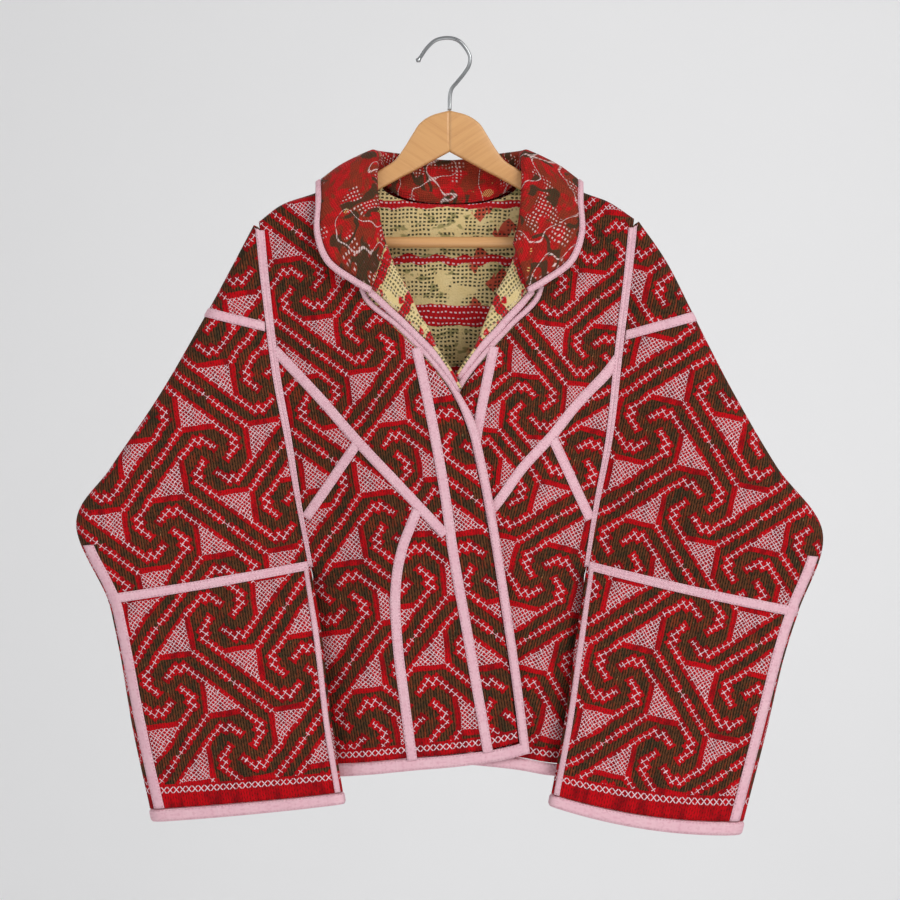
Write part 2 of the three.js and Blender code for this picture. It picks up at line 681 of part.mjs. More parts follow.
for (const side of ["right", "left"]) {
  const sleeve = sleeveSurface(side);
  const shape = sleeveShape(side);
  const mm = (station, size) => size / shape(station).width;
  const run = (station, round) => {
    const a = shape(station - 0.05);
    const b = shape(station + 0.05);
    const inner = Math.hypot(a.innerX - b.innerX, a.innerZ - b.innerZ);
    const outer = Math.hypot(a.outerX - b.outerX, a.outerZ - b.outerZ);
    return THREE.MathUtils.lerp(inner, outer, round <= 1 ? round : 2 - round) / 0.1;
  };

  // Armhole tapes: one half on the sleeve, one half on the body, in front and behind
  for (const [face, name] of [[-1, "front"], [1, "back"]]) {
    const body = face < 0 ? FRONT[side] : BACK;
    const sign = side === "right" ? 1 : -1;
    const lift = TAPE_INNER + 0.3;
    const ends = 0.45;
    const place = (s, t) => {
      const station = ends + t * (ELBOW_STATION - 2 * ends);
      const row = shape(station);
      const reach = (s - 0.5) * TAPE_WIDTH * (face < 0 ? 1 : -1);
      if (reach * face > 0) {
        const share = Math.abs(reach) / row.width;
        return sleeve(station, face < 0 ? share : 2 - share);
      }
      return body({ x: row.innerX + sign * Math.abs(reach), z: row.innerZ });
    };
    add(
      "tape_armhole_" + name + "_" + side,
      wall(place, evenly(2), evenly(13), lift, lift + TAPE),
      "tape",
    );
  }

  const acrossStation = (station, rounds) => (s, t) => {
    const round = rounds[Math.round(t * (rounds.length - 1))];
    const reach = ((s - 0.5) * TAPE_WIDTH) / run(station, round);
    return sleeve(station + reach, round);
  };
  const capLow = mm(CAP_STATION, TAPE_WIDTH / 2 + 4);
  const capRounds = around(OPEN_HALF).map((at) => THREE.MathUtils.clamp(at, capLow, 2 - capLow));
  sleeveTape("tape_cap_" + side, acrossStation(CAP_STATION, capRounds), capRounds.length - 1);
  const elbowRounds = [mm(ELBOW_STATION, 12), 0.18, 0.25, 0.36, 0.45, 0.54, 0.65, 0.72, 0.82,
    0.86, 0.92];
  sleeveTape("tape_elbow_front_" + side,
    acrossStation(ELBOW_STATION, elbowRounds), elbowRounds.length - 1);
  sleeveTape("tape_elbow_back_" + side,
    acrossStation(ELBOW_STATION, elbowRounds.map((share) => 2 - share)), elbowRounds.length - 1);
  const end = CUFF_STATION - (HEM_BINDING_WIDTH + 4) / STATION_LENGTH;
  sleeveTape("tape_outer_seam_" + side, (s, t) => {
    const station = 6.12 + t * (end - 6.12);
    return sleeve(station, OUTER_SEAM(station) + mm(station, (s - 0.5) * TAPE_WIDTH));
  }, 14);
  sleeveTape("tape_underarm_" + side, (s, t) => {
    const station = 6.3 + t * (end - 6.3);
    return sleeve(station, CLOSED_HALF[Math.round(s * 2)]);
  }, 10);

  const cuffLow = mm(CUFF_STATION, UNDERARM_GAP);
  const cuffRounds = [cuffLow, ...around(CLOSED_HALF), 2 - cuffLow];
  const cuffPlace = (s, t) => {
    const round = cuffRounds[Math.round(t * (cuffRounds.length - 1))];
    return sleeve(CUFF_STATION - (s * HEM_BINDING_WIDTH) / STATION_LENGTH, round);
  };
  const cuffDown = evenly(cuffRounds.length - 1);
  add("binding_cuff_" + side, wall(cuffPlace, [0, 1], cuffDown, -BOUND_HALF, BOUND_HALF), "tape");

  // Side seam tape, below the underarm, on the back's side
  const sideCourse = (t) => {
    const z = UNDERARM_Z - 22 - t * SIDE_TAPE_LENGTH;
    return { x: SIDE_X[side](z) - INWARD[side] * SIDE_TAPE_INSET, z };
  };
  sideCourse.span = SIDE_TAPE_LENGTH;
  seamTape("tape_side_" + side, BACK, sideCourse, 0, 0);
}

// The turned collar by stations from a front end round to the back of the neck: its foot at the
// neck seam, the crest of its roll and the free edge of its leaf; lean is the way its outside
// faces, 0 forwards, 90 up, 180 back
const COLLAR_COLUMNS = "footX footY footZ crestX crestY crestZ edgeX edgeY edgeZ lean";
const COLLAR_ROWS = {
  right: table(COLLAR_COLUMNS, [
    [-77, -19, -246, -54, -26, -240, -80, -33, -253, 0],
    [-81, -17, -225, -59, -25, -222, -104, -31, -240, 0],
    [-84, -16, -205, -65, -24, -203, -127, -28, -219, 5],
    [-81.5, -14, -178, -71, -20, -175, -134, -23, -192, 20],
    [-76.2, -10.5, -146, -73.5, -15, -140, -134, -21, -166, 45],
    [-73.5, -9, -133, -73.5, -7, -119, -134, -13, -151.5, 66],
    [-73, 0, -127.6, -73.5, 0, -114, -134, 0, -145, 90],
    [-72, 8.5, -133, -72.5, 7, -113, -132, 12, -151, 108],
    [-66.5, 11, -142, -69, 12, -112.5, -124, 19, -163, 125],
    [-53, 13.5, -154.5, -50, 19, -114, -88, 28, -185, 150],
    [-28, 14.5, -161.6, -25, 23, -118, -42, 31, -192, 172],
    [0, 15, -163.2, 0, 24, -120, 0, 32, -194, 180],
  ]),
};
COLLAR_ROWS.left = COLLAR_ROWS.right.map((row) => ({
  ...row, footX: -row.footX, crestX: -row.crestX, edgeX: -row.edgeX,
}));
const LEAF_BULGE = 3;

// The collar's middle from the foot (0) over the roll to the leaf's edge (1)
function collarSection(row) {
  const lean = THREE.MathUtils.degToRad(row.lean);
  const foot = new THREE.Vector3(row.footX, row.footY, row.footZ);
  const crest = new THREE.Vector3(row.crestX, row.crestY, row.crestZ);
  const edge = new THREE.Vector3(row.edgeX, row.edgeY, row.edgeZ);
  const away = edge.clone().sub(crest).normalize();
  const out = new THREE.Vector3(0, -Math.cos(lean), Math.sin(lean));
  out.addScaledVector(away, -out.dot(away)).normalize();
  const near = (side, along) =>
    crest.clone().addScaledVector(away, along * ROLL_RADIUS).addScaledVector(out, side * ROLL_RADIUS);
  const middle = near(1, 1.2).lerp(edge, 0.5).addScaledVector(out, LEAF_BULGE);
  const turn = Math.abs(Math.cos(lean));
  return [
    foot, near(-1, 0.1 + 1.1 * turn), near(-0.8, 0.4 * turn), crest,
    near(0.8, 0.4), near(1, 1.2), middle, edge,
  ];
}

// The lapping side's collar comes forward with its front
for (const row of COLLAR_ROWS.right) {
  const forward = LAP_DEPTH * Math.max(Math.cos(THREE.MathUtils.degToRad(row.lean)), 0);
  row.footY -= forward * lapShare(row.footX, row.footZ);
  row.crestY -= forward * lapShare(row.crestX, row.crestZ);
  row.edgeY -= forward * lapShare(row.edgeX, row.edgeZ);
}

const collarRows = [
  ...COLLAR_ROWS.right, ...COLLAR_ROWS.left.slice(0, -1).reverse(),
].map(collarSection);

// A place on a swept strip: along its sections, then across from foot to edge
function sweptSurface(sections) {
  const curves = sections[0].map((_, k) =>
    new THREE.CatmullRomCurve3(sections.map((row) => row[k])));
  const at = (along, across) => {
    const points = curves.map((curve) => curve.getPoint(THREE.MathUtils.clamp(along, 0, 1)));
    return new THREE.CatmullRomCurve3(points).getPoint(THREE.MathUtils.clamp(across, 0, 1));
  };
  const step = 0.004;
  return (along, across) => {
    const a = at(Math.min(along + step, 1), across).sub(at(Math.max(along - step, 0), across));
    const b = at(along, Math.min(across + step, 1)).sub(at(along, Math.max(across - step, 0)));
    return { point: at(along, across), normal: b.cross(a).normalize() };
  };
}

const collar = sweptSurface(collarRows);
const collarAcross = [
  0, 0.08, 0.145, 0.22, 0.29, 0.36, 0.43, 0.5, 0.575, 0.645, 0.715, 0.79, 0.855, 0.9,
];
const COLLAR_BOUND_FROM = 0.92;
const collarAlong = evenly(28);
add("collar", wall(
  (s, t) => collar(t, collarAcross[Math.round(s * (collarAcross.length - 1))]),
  evenly(collarAcross.length - 1), collarAlong, -HALF_CLOTH, HALF_CLOTH,
), "cloth");
add("binding_collar", wall(
  (s, t) => collar(t, s === 0 ? COLLAR_BOUND_FROM : 1), [0, 1], collarAlong, -BOUND_HALF, BOUND_HALF,
), "tape");

// The lapels: the fronts' neck edges turned outwards beside the bound edge below them, from the
// collar's end down to the bottom of the neck opening
const LAPEL_SPAN = 0.76;
const LAPEL_ACROSS = [0.35, 0.46, 0.52, 0.58, 0.64, 0.7, 0.77, 0.85, 1];
const LAPEL_BOUND_TO = 0.21;
const LAPEL_COLUMNS = "share rollX rollZ";
const LAPEL_ROWS = {
  right: table(LAPEL_COLUMNS, [
    [0.01, -53, -248], [0.25, -41, -264], [0.5, -27, -287], [0.75, -9, -318], [1, 3, -340],
  ]),
  left: table(LAPEL_COLUMNS, [
    [0.01, 59, -246], [0.25, 53, -262], [0.5, 41, -285], [0.75, 24, -312], [1, 10, -334],
  ]),
};
const LAPEL_END = {
  right: shareNear(FRONT_EDGE.right, { x: -3, z: -339 }),
  left: shareNear(FRONT_EDGE.left, { x: 17, z: -335 }),
};
for (const side of ["right", "left"]) {
  const surface = FRONT[side];
  const edge = beside(FRONT_EDGE[side], -INWARD[side] * 1.4);
  const sections = LAPEL_ROWS[side].map((row) => {
    const start = BOUND_FROM[side];
    const place = edge(start + (LAPEL_END[side] - start) * row.share);
    const rolled = surface({ x: row.rollX, z: row.rollZ }).point;
    const outer = surface(place).point;
    const forward = (point, y) => point.clone().add(new THREE.Vector3(0, y, 0));
    return [
      forward(outer, -1.5), forward(outer.clone().lerp(rolled, 0.5), -3),
      forward(outer.clone().lerp(rolled, 0.8), -3), forward(rolled, 0.5),
      forward(outer.clone().lerp(rolled, 0.8), 3.4), forward(outer.clone().lerp(rolled, 0.4), 4.6),
    ];
  });
  const strip = sweptSurface(sections);
  const down = between(0, LAPEL_SPAN, 8);
  const steps = LAPEL_ACROSS.length - 1;
  add("lapel_" + side, wall(
    (s, t) => strip(t, LAPEL_ACROSS[Math.round(s * steps)]), evenly(steps), down,
    -HALF_CLOTH, HALF_CLOTH,
  ), "reverse");
  add("binding_lapel_" + side, wall(
    (s, t) => strip(t, s === 0 ? 0 : LAPEL_BOUND_TO), [0, 1], down, -BOUND_HALF, BOUND_HALF,
  ), "tape");
}

// The wooden hanger: two arms that meet in a mitre under the hook, and a bar between their ends
const MITRE_GAP = 0.3;
const ARM_ROWS = table("topX topZ bottomX bottomZ", [
  [0, -71, 0, -112.5], [-18, -76, -14, -120], [-30, -84, -27, -127], [-38, -96, -38, -133],
  [-46, -109, -48, -138], [-55, -121, -57, -143], [-66, -128.5, -67, -148.3],
  [-78, -135.5, -77, -153.5], [-112, -151.5, -108, -170], [-149, -169.5, -149, -193],
  [-150, -170, -150, -211], [-170, -180, -168, -215], [-184, -190, -178, -214],
  [-189, -200, -186, -208],
]);

// A closed body through a row of loops of points
function loft(loops) {
  const sides = loops[0].length;
  const positions = loops.flat().flatMap((point) => point.toArray());
  const index = [];
  for (let i = 0; i < loops.length - 1; i += 1) {
    for (let k = 0; k < sides; k += 1) {
      const a = i * sides + k;
      const b = i * sides + ((k + 1) % sides);
      index.push(a, b, b + sides, a, b + sides, a + sides);
    }
  }
  const end = (loops.length - 1) * sides;
  for (let k = 1; k < sides - 1; k += 1) {
    index.push(0, k + 1, k);
    index.push(end, end + k, end + k + 1);
  }
  return closedMesh(positions, index);
}

function hangerArm(name, mirror) {
  const half = HANGER_THICKNESS / 2;
  const round = 3;
  const loops = ARM_ROWS.map((row, i) => {
    const x = (value) => mirror * Math.min(value, -MITRE_GAP / 2);
    const top = new THREE.Vector3(x(row.topX), 0, row.topZ);
    const bottom = new THREE.Vector3(x(row.bottomX), 0, row.bottomZ);
    const down = bottom.clone().sub(top).normalize();
    const full = i === ARM_ROWS.length - 1 ? half - 2 : half;
    const at = (from, along, y) => from.clone().addScaledVector(down, along).setY(y);
    return [
      at(top, 0, -full + round), at(top, 0, full - round), at(top, round, full),
      at(bottom, -round, full), at(bottom, 0, full - round), at(bottom, 0, -full + round),
      at(bottom, -round, -full), at(top, round, -full),
    ];
  });
  add(name, loft(loops), "wood");
}
hangerArm("hanger_arm_right", 1);
hangerArm("hanger_arm_left", -1);

const BAR_Z = -203.5;
const BAR_REACH = 148.7;
const bar = new THREE.CylinderGeometry(BAR_DIAMETER / 2, BAR_DIAMETER / 2, 2 * BAR_REACH, 16);
bar.rotateZ(Math.PI / 2);
bar.translate(0, 0, BAR_Z);
add("hanger_bar", bar, "wood");

// The hook: one bent wire from its tip over the bend and down into the crown
const HOOK_ROWS = table("x z", [
  [-33, -22.3], [-28.5, -16], [-22.5, -7.5], [-13.8, -0.1], [-1, 2.2], [9.1, -0.7], [16.5, -8.5],
  [20.5, -16.9], [19.5, -25.5], [14.9, -33.2], [7.2, -42.8], [2.5, -48.5], [0.5, -55.2], [0, -70.6],
]);
const hookCurve = new THREE.CatmullRomCurve3(
  HOOK_ROWS.map((row) => new THREE.Vector3(row.x, 0, row.z)),
);
const wire = new THREE.Shape();
wire.absarc(0, 0, WIRE_DIAMETER / 2, 0, 2 * Math.PI);
add("hanger_hook", new THREE.ExtrudeGeometry(wire, {
  steps: 36, curveSegments: 5, bevelEnabled: false, extrudePath: hookCurve,
}), "steel");

export default jacket;
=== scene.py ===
# A cropped jacket of thick stitched cloth, bound and taped in pink, on a wooden hanger.
# The tables and the shapes drawn from them are in millimetres, as the solids' are; a piece is
# brought to metres when its mesh is made. The wearer faces -Y, and "right" is the wearer's right.
import math

import bpy
import numpy as np
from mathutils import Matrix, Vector


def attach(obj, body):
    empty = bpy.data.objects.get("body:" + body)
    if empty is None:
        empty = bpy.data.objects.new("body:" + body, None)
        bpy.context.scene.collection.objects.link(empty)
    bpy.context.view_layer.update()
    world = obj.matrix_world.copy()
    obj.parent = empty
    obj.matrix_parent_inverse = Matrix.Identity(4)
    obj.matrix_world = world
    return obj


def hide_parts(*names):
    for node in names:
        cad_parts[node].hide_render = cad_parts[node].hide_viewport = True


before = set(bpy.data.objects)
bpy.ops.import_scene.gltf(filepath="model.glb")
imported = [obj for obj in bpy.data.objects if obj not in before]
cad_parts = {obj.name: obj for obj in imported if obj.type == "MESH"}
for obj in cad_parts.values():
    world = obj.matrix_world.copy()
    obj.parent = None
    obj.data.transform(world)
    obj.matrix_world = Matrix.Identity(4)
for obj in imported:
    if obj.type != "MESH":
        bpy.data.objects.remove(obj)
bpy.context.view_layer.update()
MM = 0.001

# Driving sizes
CLOTH = 3.0
TAPE = 1.0
TAPE_WIDTH = 10.0
BINDING_WIDTH = 9.0
HEM_BINDING_WIDTH = 12.0
BINDING_GAP = 0.8
SEAM = 0.35
UNDERARM_GAP = 0.8
CELL = 4.0
RIDGE_RADIUS = 9.0
LAP_DEPTH = 7.5
LAP_FROM = -122.0
LAP_FULL = -58.0
ROLL_RADIUS = 4.2
FOLD_RADIUS = 16.0
STATION_LENGTH = 85.0
PATTERN_CELL = 130.0
HALF = CLOTH / 2
SIDES = ("right", "left")
INWARD = {"right": -1, "left": 1}


def table(columns, rows):
    names = columns.split()
    return [dict(zip(names, row)) for row in rows]


def smoothstep(value, low, high):
    t = np.clip((value - low) / (high - low), 0, 1)
    return t * t * (3 - 2 * t)


def profile(rows, key, value):
    """A smooth value between the rows of a table, read down one column by another."""
    keys = np.array([row[key] for row in rows], float)
    values = np.array([row[value] for row in rows], float)
    last = len(rows) - 1
    before = np.maximum(np.arange(last + 1) - 1, 0)
    after = np.minimum(np.arange(last + 1) + 1, last)
    slopes = (values[after] - values[before]) / (keys[after] - keys[before])
    turn = -1 if keys[1] < keys[0] else 1

    def at(place):
        place = np.asarray(place, float)
        i = np.clip(np.searchsorted(turn * keys, turn * place, side="right") - 1, 0, last - 1)
        span = keys[i + 1] - keys[i]
        t = np.clip((place - keys[i]) / span, 0, 1)
        low = (2 * t**3 - 3 * t**2 + 1) * values[i] + (t**3 - 2 * t**2 + t) * span * slopes[i]
        high = (3 * t**2 - 2 * t**3) * values[i + 1] + (t**3 - t**2) * span * slopes[i + 1]
        return low + high

    return at


def smooth_curve(points, shares):
    """A centripetal curve through points, read at shares of its count of spans."""
    points = np.asarray(points, float)
    shares = np.atleast_1d(np.asarray(shares, float))
    last = len(points) - 1
    padded = np.vstack([2 * points[0] - points[1], points, 2 * points[-1] - points[-2]])
    i = np.clip(np.floor(shares * last).astype(int), 0, last - 1)
    t = (np.clip(shares, 0, 1) * last - i)[:, None]
    p0, p1, p2, p3 = (padded[i + k] for k in range(4))
    gaps = [np.sqrt(np.linalg.norm(b - a, axis=1))[:, None] for a, b in ((p0, p1), (p1, p2), (p2, p3))]
    middle = np.where(gaps[1] < 1e-4, 1, gaps[1])
    first = np.where(gaps[0] < 1e-4, middle, gaps[0])
    third = np.where(gaps[2] < 1e-4, middle, gaps[2])
    out = ((p1 - p0) / first - (p2 - p0) / (first + middle) + (p2 - p1) / middle) * middle
    into = ((p2 - p1) / middle - (p3 - p1) / (middle + third) + (p3 - p2) / third) * middle
    square = -3 * p1 + 3 * p2 - 2 * out - into
    cube = 2 * p1 - 2 * p2 + out + into
    return p1 + out * t + square * t**2 + cube * t**3


class Line:
    """A smooth line in the front view, read by the share of its length as (x, z)."""

    def __init__(self, rows):
        points = [(row["x"], row["z"]) for row in rows]
        self.places = smooth_curve(points, np.linspace(0, 1, 1200))
        steps = np.linalg.norm(np.diff(self.places, axis=0), axis=1)
        lengths = np.concatenate([[0], np.cumsum(steps)])
        self.span = lengths[-1]
        self.shares = lengths / self.span

    def __call__(self, share):
        share = np.asarray(share, float)
        return np.stack([np.interp(share, self.shares, self.places[:, k]) for k in (0, 1)], -1)


def span_of(at):
    places = at(np.linspace(0, 1, 200))
    return np.linalg.norm(np.diff(places, axis=0), axis=1).sum()


def stretch(at, start, end):
    return lambda t: at(start + (end - start) * np.asarray(t, float))


def straight(a, b):
    a, b = np.array(a, float), np.array(b, float)
    return lambda t: a + (b - a) * np.asarray(t, float)[..., None]


def turned(at):
    return lambda t: at(1 - np.asarray(t, float))


def point_at(place):
    return lambda t: np.broadcast_to(np.asarray(place, float), np.shape(t) + (2,))


def joined(a, b, share_of_a):
    def at(t):
        t = np.asarray(t, float)
        first = a(np.clip(t / share_of_a, 0, 1))
        second = b(np.clip((t - share_of_a) / (1 - share_of_a), 0, 1))
        return np.where((t < share_of_a)[..., None], first, second)

    return at


def beside(at, distance):
    """A line beside another, at a distance that may change with the share."""
    step = 0.003

    def offset(share):
        share = np.asarray(share, float)
        ahead = at(np.minimum(share + step, 1)) - at(np.maximum(share - step, 0))
        ahead = ahead / np.linalg.norm(ahead, axis=-1, keepdims=True)
        away = distance(share) if callable(distance) else distance
        across = np.stack([-ahead[..., 1], ahead[..., 0]], -1)
        return at(share) + across * np.asarray(away, float)[..., None]

    return offset


def share_near(at, place):
    shares = np.linspace(0, 1, 801)
    away = np.linalg.norm(at(shares) - np.asarray(place), axis=-1)
    return shares[np.argmin(away)]


def share_at_height(at, z):
    shares = np.linspace(0, 1, 801)
    return shares[np.argmin(np.abs(at(shares)[:, 1] - z))]


# The side of the body: armhole seam down to the underarm, then the side seam to the hem
UNDERARM_Z = -528
SIDE_ROWS = {
    "right": table("z x", [
        [-184, -191], [-250, -184.5], [-336, -174], [-398, -162.5], [-467, -151], [-528, -139.5],
        [-545, -136.5], [-620, -152], [-742, -166],
    ]),
    "left": table("z x", [
        [-181, 185], [-238, 179], [-307, 170.5], [-398, 160.5], [-467, 147.5], [-528, 137.5],
        [-545, 134.5], [-620, 150], [-742, 164],
    ]),
}
SIDE_X = {side: profile(SIDE_ROWS[side], "z", "x") for side in SIDES}
SIDE_LINE = {side: Line(SIDE_ROWS[side]) for side in SIDES}

# The shoulder seam, over the hanger's arms
SHOULDER_ROWS = {
    "right": table("x z", [[-191, -184], [-168, -167], [-134, -155], [-76, -129.5], [0, -95]]),
    "left": table("x z", [[185, -181], [159, -164], [136, -155.5], [76, -129.5], [0, -95]]),
}
SHOULDER_Z = {side: profile(SHOULDER_ROWS[side], "x", "z") for side in SIDES}

# The body's depth by height, at the side seams and the middle, and how round its sides are
DEPTH_ROWS = table("z frontSide frontMiddle backSide backMiddle round", [
    [-95, -9, -12, 9, 13, 1],
    [-200, -9, -20, 9, 17, 1],
    [-300, -8.5, -27, 8.5, 21.5, 1],
    [-420, -6, -31, 6, 24, 1],
    [-500, -3, -32, 3, 25, 1],
    [-528, -2.2, -32, 2.2, 25, 1],
    [-545, 8, -32, 9.4, 25.5, 0.66],
    [-610, 7.8, -32.5, 9, 27, 0.5],
    [-742, 7.4, -34, 8.6, 29, 0.5],
])
DEPTH = {column: profile(DEPTH_ROWS, "z", column) for column in DEPTH_ROWS[0] if column != "z"}
SWELL_POWER = 2.3

# Folds and creases: a ridge (positive) or trough between two ends, its half width and height
FOLD_COLUMNS = "x1 z1 x2 z2 width height"
FOLDS = {
    -1: table(FOLD_COLUMNS, [
        [168, -215, 146, -440, 13, 4],
        [146, -235, 122, -450, 25, -6],
        [-150, -240, -115, -330, 26, 4],
        [-66, -560, -92, -742, 26, 4],
        [100, -560, 92, -742, 26, 4],
    ]),
    1: table(FOLD_COLUMNS, [
        [-60, -320, -95, -730, 26, 7],
        [70, -300, 100, -730, 26, 7],
        [0, -420, 10, -730, 24, -5],
    ]),
}
CREASES = {
    -1: table(FOLD_COLUMNS, [
        [-150, -215, -128, -300, 12, 1.4],
        [-120, -195, -98, -290, 11, -1.2],
        [-132, -330, -108, -365, 8, -1.0],
        [-60, -330, -38, -430, 11, 1.0],
        [-92, -470, -104, -560, 9, -1.2],
        [-118, -500, -112, -640, 9, 1.3],
        [-70, -600, -62, -720, 10, -1.2],
        [-14, -640, -4, -715, 9, 1.1],
        [12, -430, 24, -560, 9, 0.8],
        [38, -560, 52, -690, 8, -1.0],
        [90, -300, 78, -380, 11, 1.3],
        [118, -220, 102, -330, 12, -1.2],
        [128, -470, 116, -600, 9, 1.6],
        [106, -520, 100, -690, 8, -1.4],
        [78, -560, 84, -700, 9, 1.0],
    ]),
    1: table(FOLD_COLUMNS, [
        [-120, -230, -100, -420, 14, 1.4],
        [110, -220, 96, -430, 13, 1.5],
        [-20, -250, -30, -480, 15, -1.2],
        [44, -420, 52, -700, 11, 1.4],
        [-124, -470, -128, -700, 9, -1.4],
    ]),
}
SLEEVE_CREASES = table(FOLD_COLUMNS, [
    [-205, -250, -236, -330, 8, -1.2],
    [-212, -330, -200, -420, 11, 1.3],
    [-255, -372, -300, -455, 12, 1.4],
    [-180, -400, -172, -500, 8, -1.6],
    [-178, -516, -240, -500, 7, -1.3],
    [-196, -548, -300, -532, 8, 1.4],
    [-300, -505, -345, -515, 8, 1.6],
    [-330, -545, -352, -500, 8, -1.4],
    [-170, -560, -164, -660, 8, 1.4],
    [-148, -600, -134, -700, 8, -1.5],
    [-210, -600, -196, -700, 13, 1.4],
    [-268, -640, -262, -760, 12, -1.2],
    [-300, -590, -306, -690, 10, 1.2],
    [-160, -700, -150, -770, 9, 1.2],
    [205, -250, 228, -330, 8, -1.3],
    [214, -330, 206, -430, 11, 1.4],
    [262, -372, 300, -455, 12, 1.3],
    [176, -400, 168, -500, 8, -1.6],
    [172, -514, 230, -506, 7, -1.2],
    [250, -512, 340, -532, 8, 1.5],
    [318, -470, 352, -510, 8, -1.3],
    [170, -560, 158, -660, 8, 1.4],
    [146, -600, 128, -720, 8, -1.5],
    [214, -600, 204, -720, 13, 1.5],
    [262, -640, 250, -770, 12, -1.3],
    [300, -600, 296, -700, 10, 1.2],
])


def fold_height(rows, x, z):
    height = np.zeros(np.shape(x))
    for fold in rows:
        dx, dz = fold["x2"] - fold["x1"], fold["z2"] - fold["z1"]
        along = ((x - fold["x1"]) * dx + (z - fold["z1"]) * dz) / (dx * dx + dz * dz)
        near = np.clip(along, 0, 1)
        away = np.hypot(x - fold["x1"] - near * dx, z - fold["z1"] - near * dz)
        taper = np.sin(math.pi * (0.08 + 0.84 * near))
        height += fold["height"] * taper * np.exp(-((away / fold["width"]) ** 2))
    return height


def round_over(distance, radius):
    return np.sqrt(np.maximum(1 - (1 - np.clip(distance / radius, 0, 1)) ** 2, 0))


def lap_share(x, z):
    return smoothstep(x, LAP_FROM, LAP_FULL) * smoothstep(-z, 170, 280)


def by_side(tables, x, place):
    return np.where(x < 0, tables["right"](place), tables["left"](place))


def body_depth(x, z, face, lap=0.0):
    """The depth of the body's cloth at a place in the front view; face is -1 in front, 1 behind."""
    name = "front" if face < 0 else "back"
    share = np.minimum(np.abs(x / by_side(SIDE_X, x, z)), 1)
    edge = DEPTH[name + "Side"](z)
    rise = np.maximum(1 - share**SWELL_POWER, 0) ** DEPTH["round"](z)
    middle = (DEPTH[name + "Middle"](z) - edge) * rise
    fade = np.sqrt(np.maximum(1 - share**6, 0))
    folds = (fold_height(FOLDS[face], x, z) + fold_height(CREASES[face], x, z)) * fade
    ridge = round_over(by_side(SHOULDER_Z, x, x) - z, RIDGE_RADIUS)
    return (edge + middle + face * (folds + lap_share(x, z) * lap)) * ridge


def body_surface(face, lap=0.0):
    def at(place):
        x, z = place[..., 0], place[..., 1]
        return np.stack([x, body_depth(x, z, face, lap), z], -1)

    at.face = face
    return at


FRONT = {"right": body_surface(-1, LAP_DEPTH), "left": body_surface(-1)}
BACK = body_surface(1)

# The stitched repeat on each piece: where one of its whorls is centred, the angle of the cloth's
# grain in the front view, and the size of the repeat
GRAINS = {row["piece"]: row for row in table("piece x z angle cell", [
    ["sleeve_lower_right", -281.8, -652.3, -9, 129],
    ["sleeve_upper_right", -289.0, -496.1, -9, 129],
    ["sleeve_lower_left", 169.8, -639.8, 13, 129],
    ["sleeve_upper_left", 200.5, -392.5, 12.5, 127],
    ["yoke_right", -79.5, -301.5, -8, 119],
    ["side_right", -182.7, -430.5, -9, 128],
    ["lower_right", -107.5, -560.5, -9, 128],
    ["centre_right", -42.5, -532.5, -6, 134],
    ["placket_right", -22.3, -605.2, -8.5, 135],
    ["yoke_left", 145.0, -318.0, 5.5, 114],
    ["side_left", 126.5, -422.5, 14, 124],
    ["lower_left", 93.5, -539.5, 14.5, 126],
    ["placket_left", 20.0, -500.0, 8, 120],
    ["back", 0.0, -420.0, 0, 128],
])}


def cut_map(piece, across, down):
    """A place on the flat cut, in metres of a repeat of the pattern's own size."""
    grain = GRAINS[piece]
    angle = math.radians(grain["angle"])
    dx = across - grain["x"]
    dy = grain["z"] - down
    scale = PATTERN_CELL / grain["cell"] * MM
    u = dx * math.cos(angle) + dy * math.sin(angle)
    v = dy * math.cos(angle) - dx * math.sin(angle)
    return np.stack([u, v], -1) * scale


def surface_normals(points, outward):
    """Unit normals of a grid of points; outward turns them by a rough direction."""
    down = np.gradient(points, axis=0)
    across = np.gradient(points, axis=1)
    normal = np.cross(down, across)
    length = np.linalg.norm(normal, axis=-1, keepdims=True)
    normal = normal / np.maximum(length, 1e-9)
    return normal * outward


MATERIALS = {}
PIECES = {}


def make_object(name, vertices, faces, materials, layers, indices=None):
    """A mesh in metres from points in millimetres, with its maps and its materials."""
    mesh = bpy.data.meshes.new(name)
    mesh.vertices.add(len(vertices))
    mesh.vertices.foreach_set("co", (np.asarray(vertices, float) * MM).ravel())
    faces = np.asarray(faces, int)
    mesh.loops.add(faces.size)
    mesh.loops.foreach_set("vertex_index", faces.ravel())
    mesh.polygons.add(len(faces))
    mesh.polygons.foreach_set("loop_start", np.arange(0, faces.size, 4))
    mesh.polygons.foreach_set("use_smooth", np.ones(len(faces), bool))
    if indices is not None:
        mesh.polygons.foreach_set("material_index", np.asarray(indices, int))
    for layer, values in layers.items():
        uv = mesh.uv_layers.new(name=layer)
        uv.data.foreach_set("uv", np.asarray(values, float)[faces.ravel()].ravel())
    for material in materials:
        mesh.materials.append(MATERIALS[material])
    mesh.update()
    mesh.validate()
    piece = bpy.data.objects.new(name, mesh)
    bpy.context.scene.collection.objects.link(piece)
    PIECES[name] = piece
    return piece


def grid_faces(rows, columns, start, flip):
    j, i = np.mgrid[0:rows - 1, 0:columns - 1]
    a = (start + j * columns + i).ravel()
    quads = np.stack([a, a + 1, a + 1 + columns, a + columns], -1)
    return quads[:, ::-1] if flip else quads


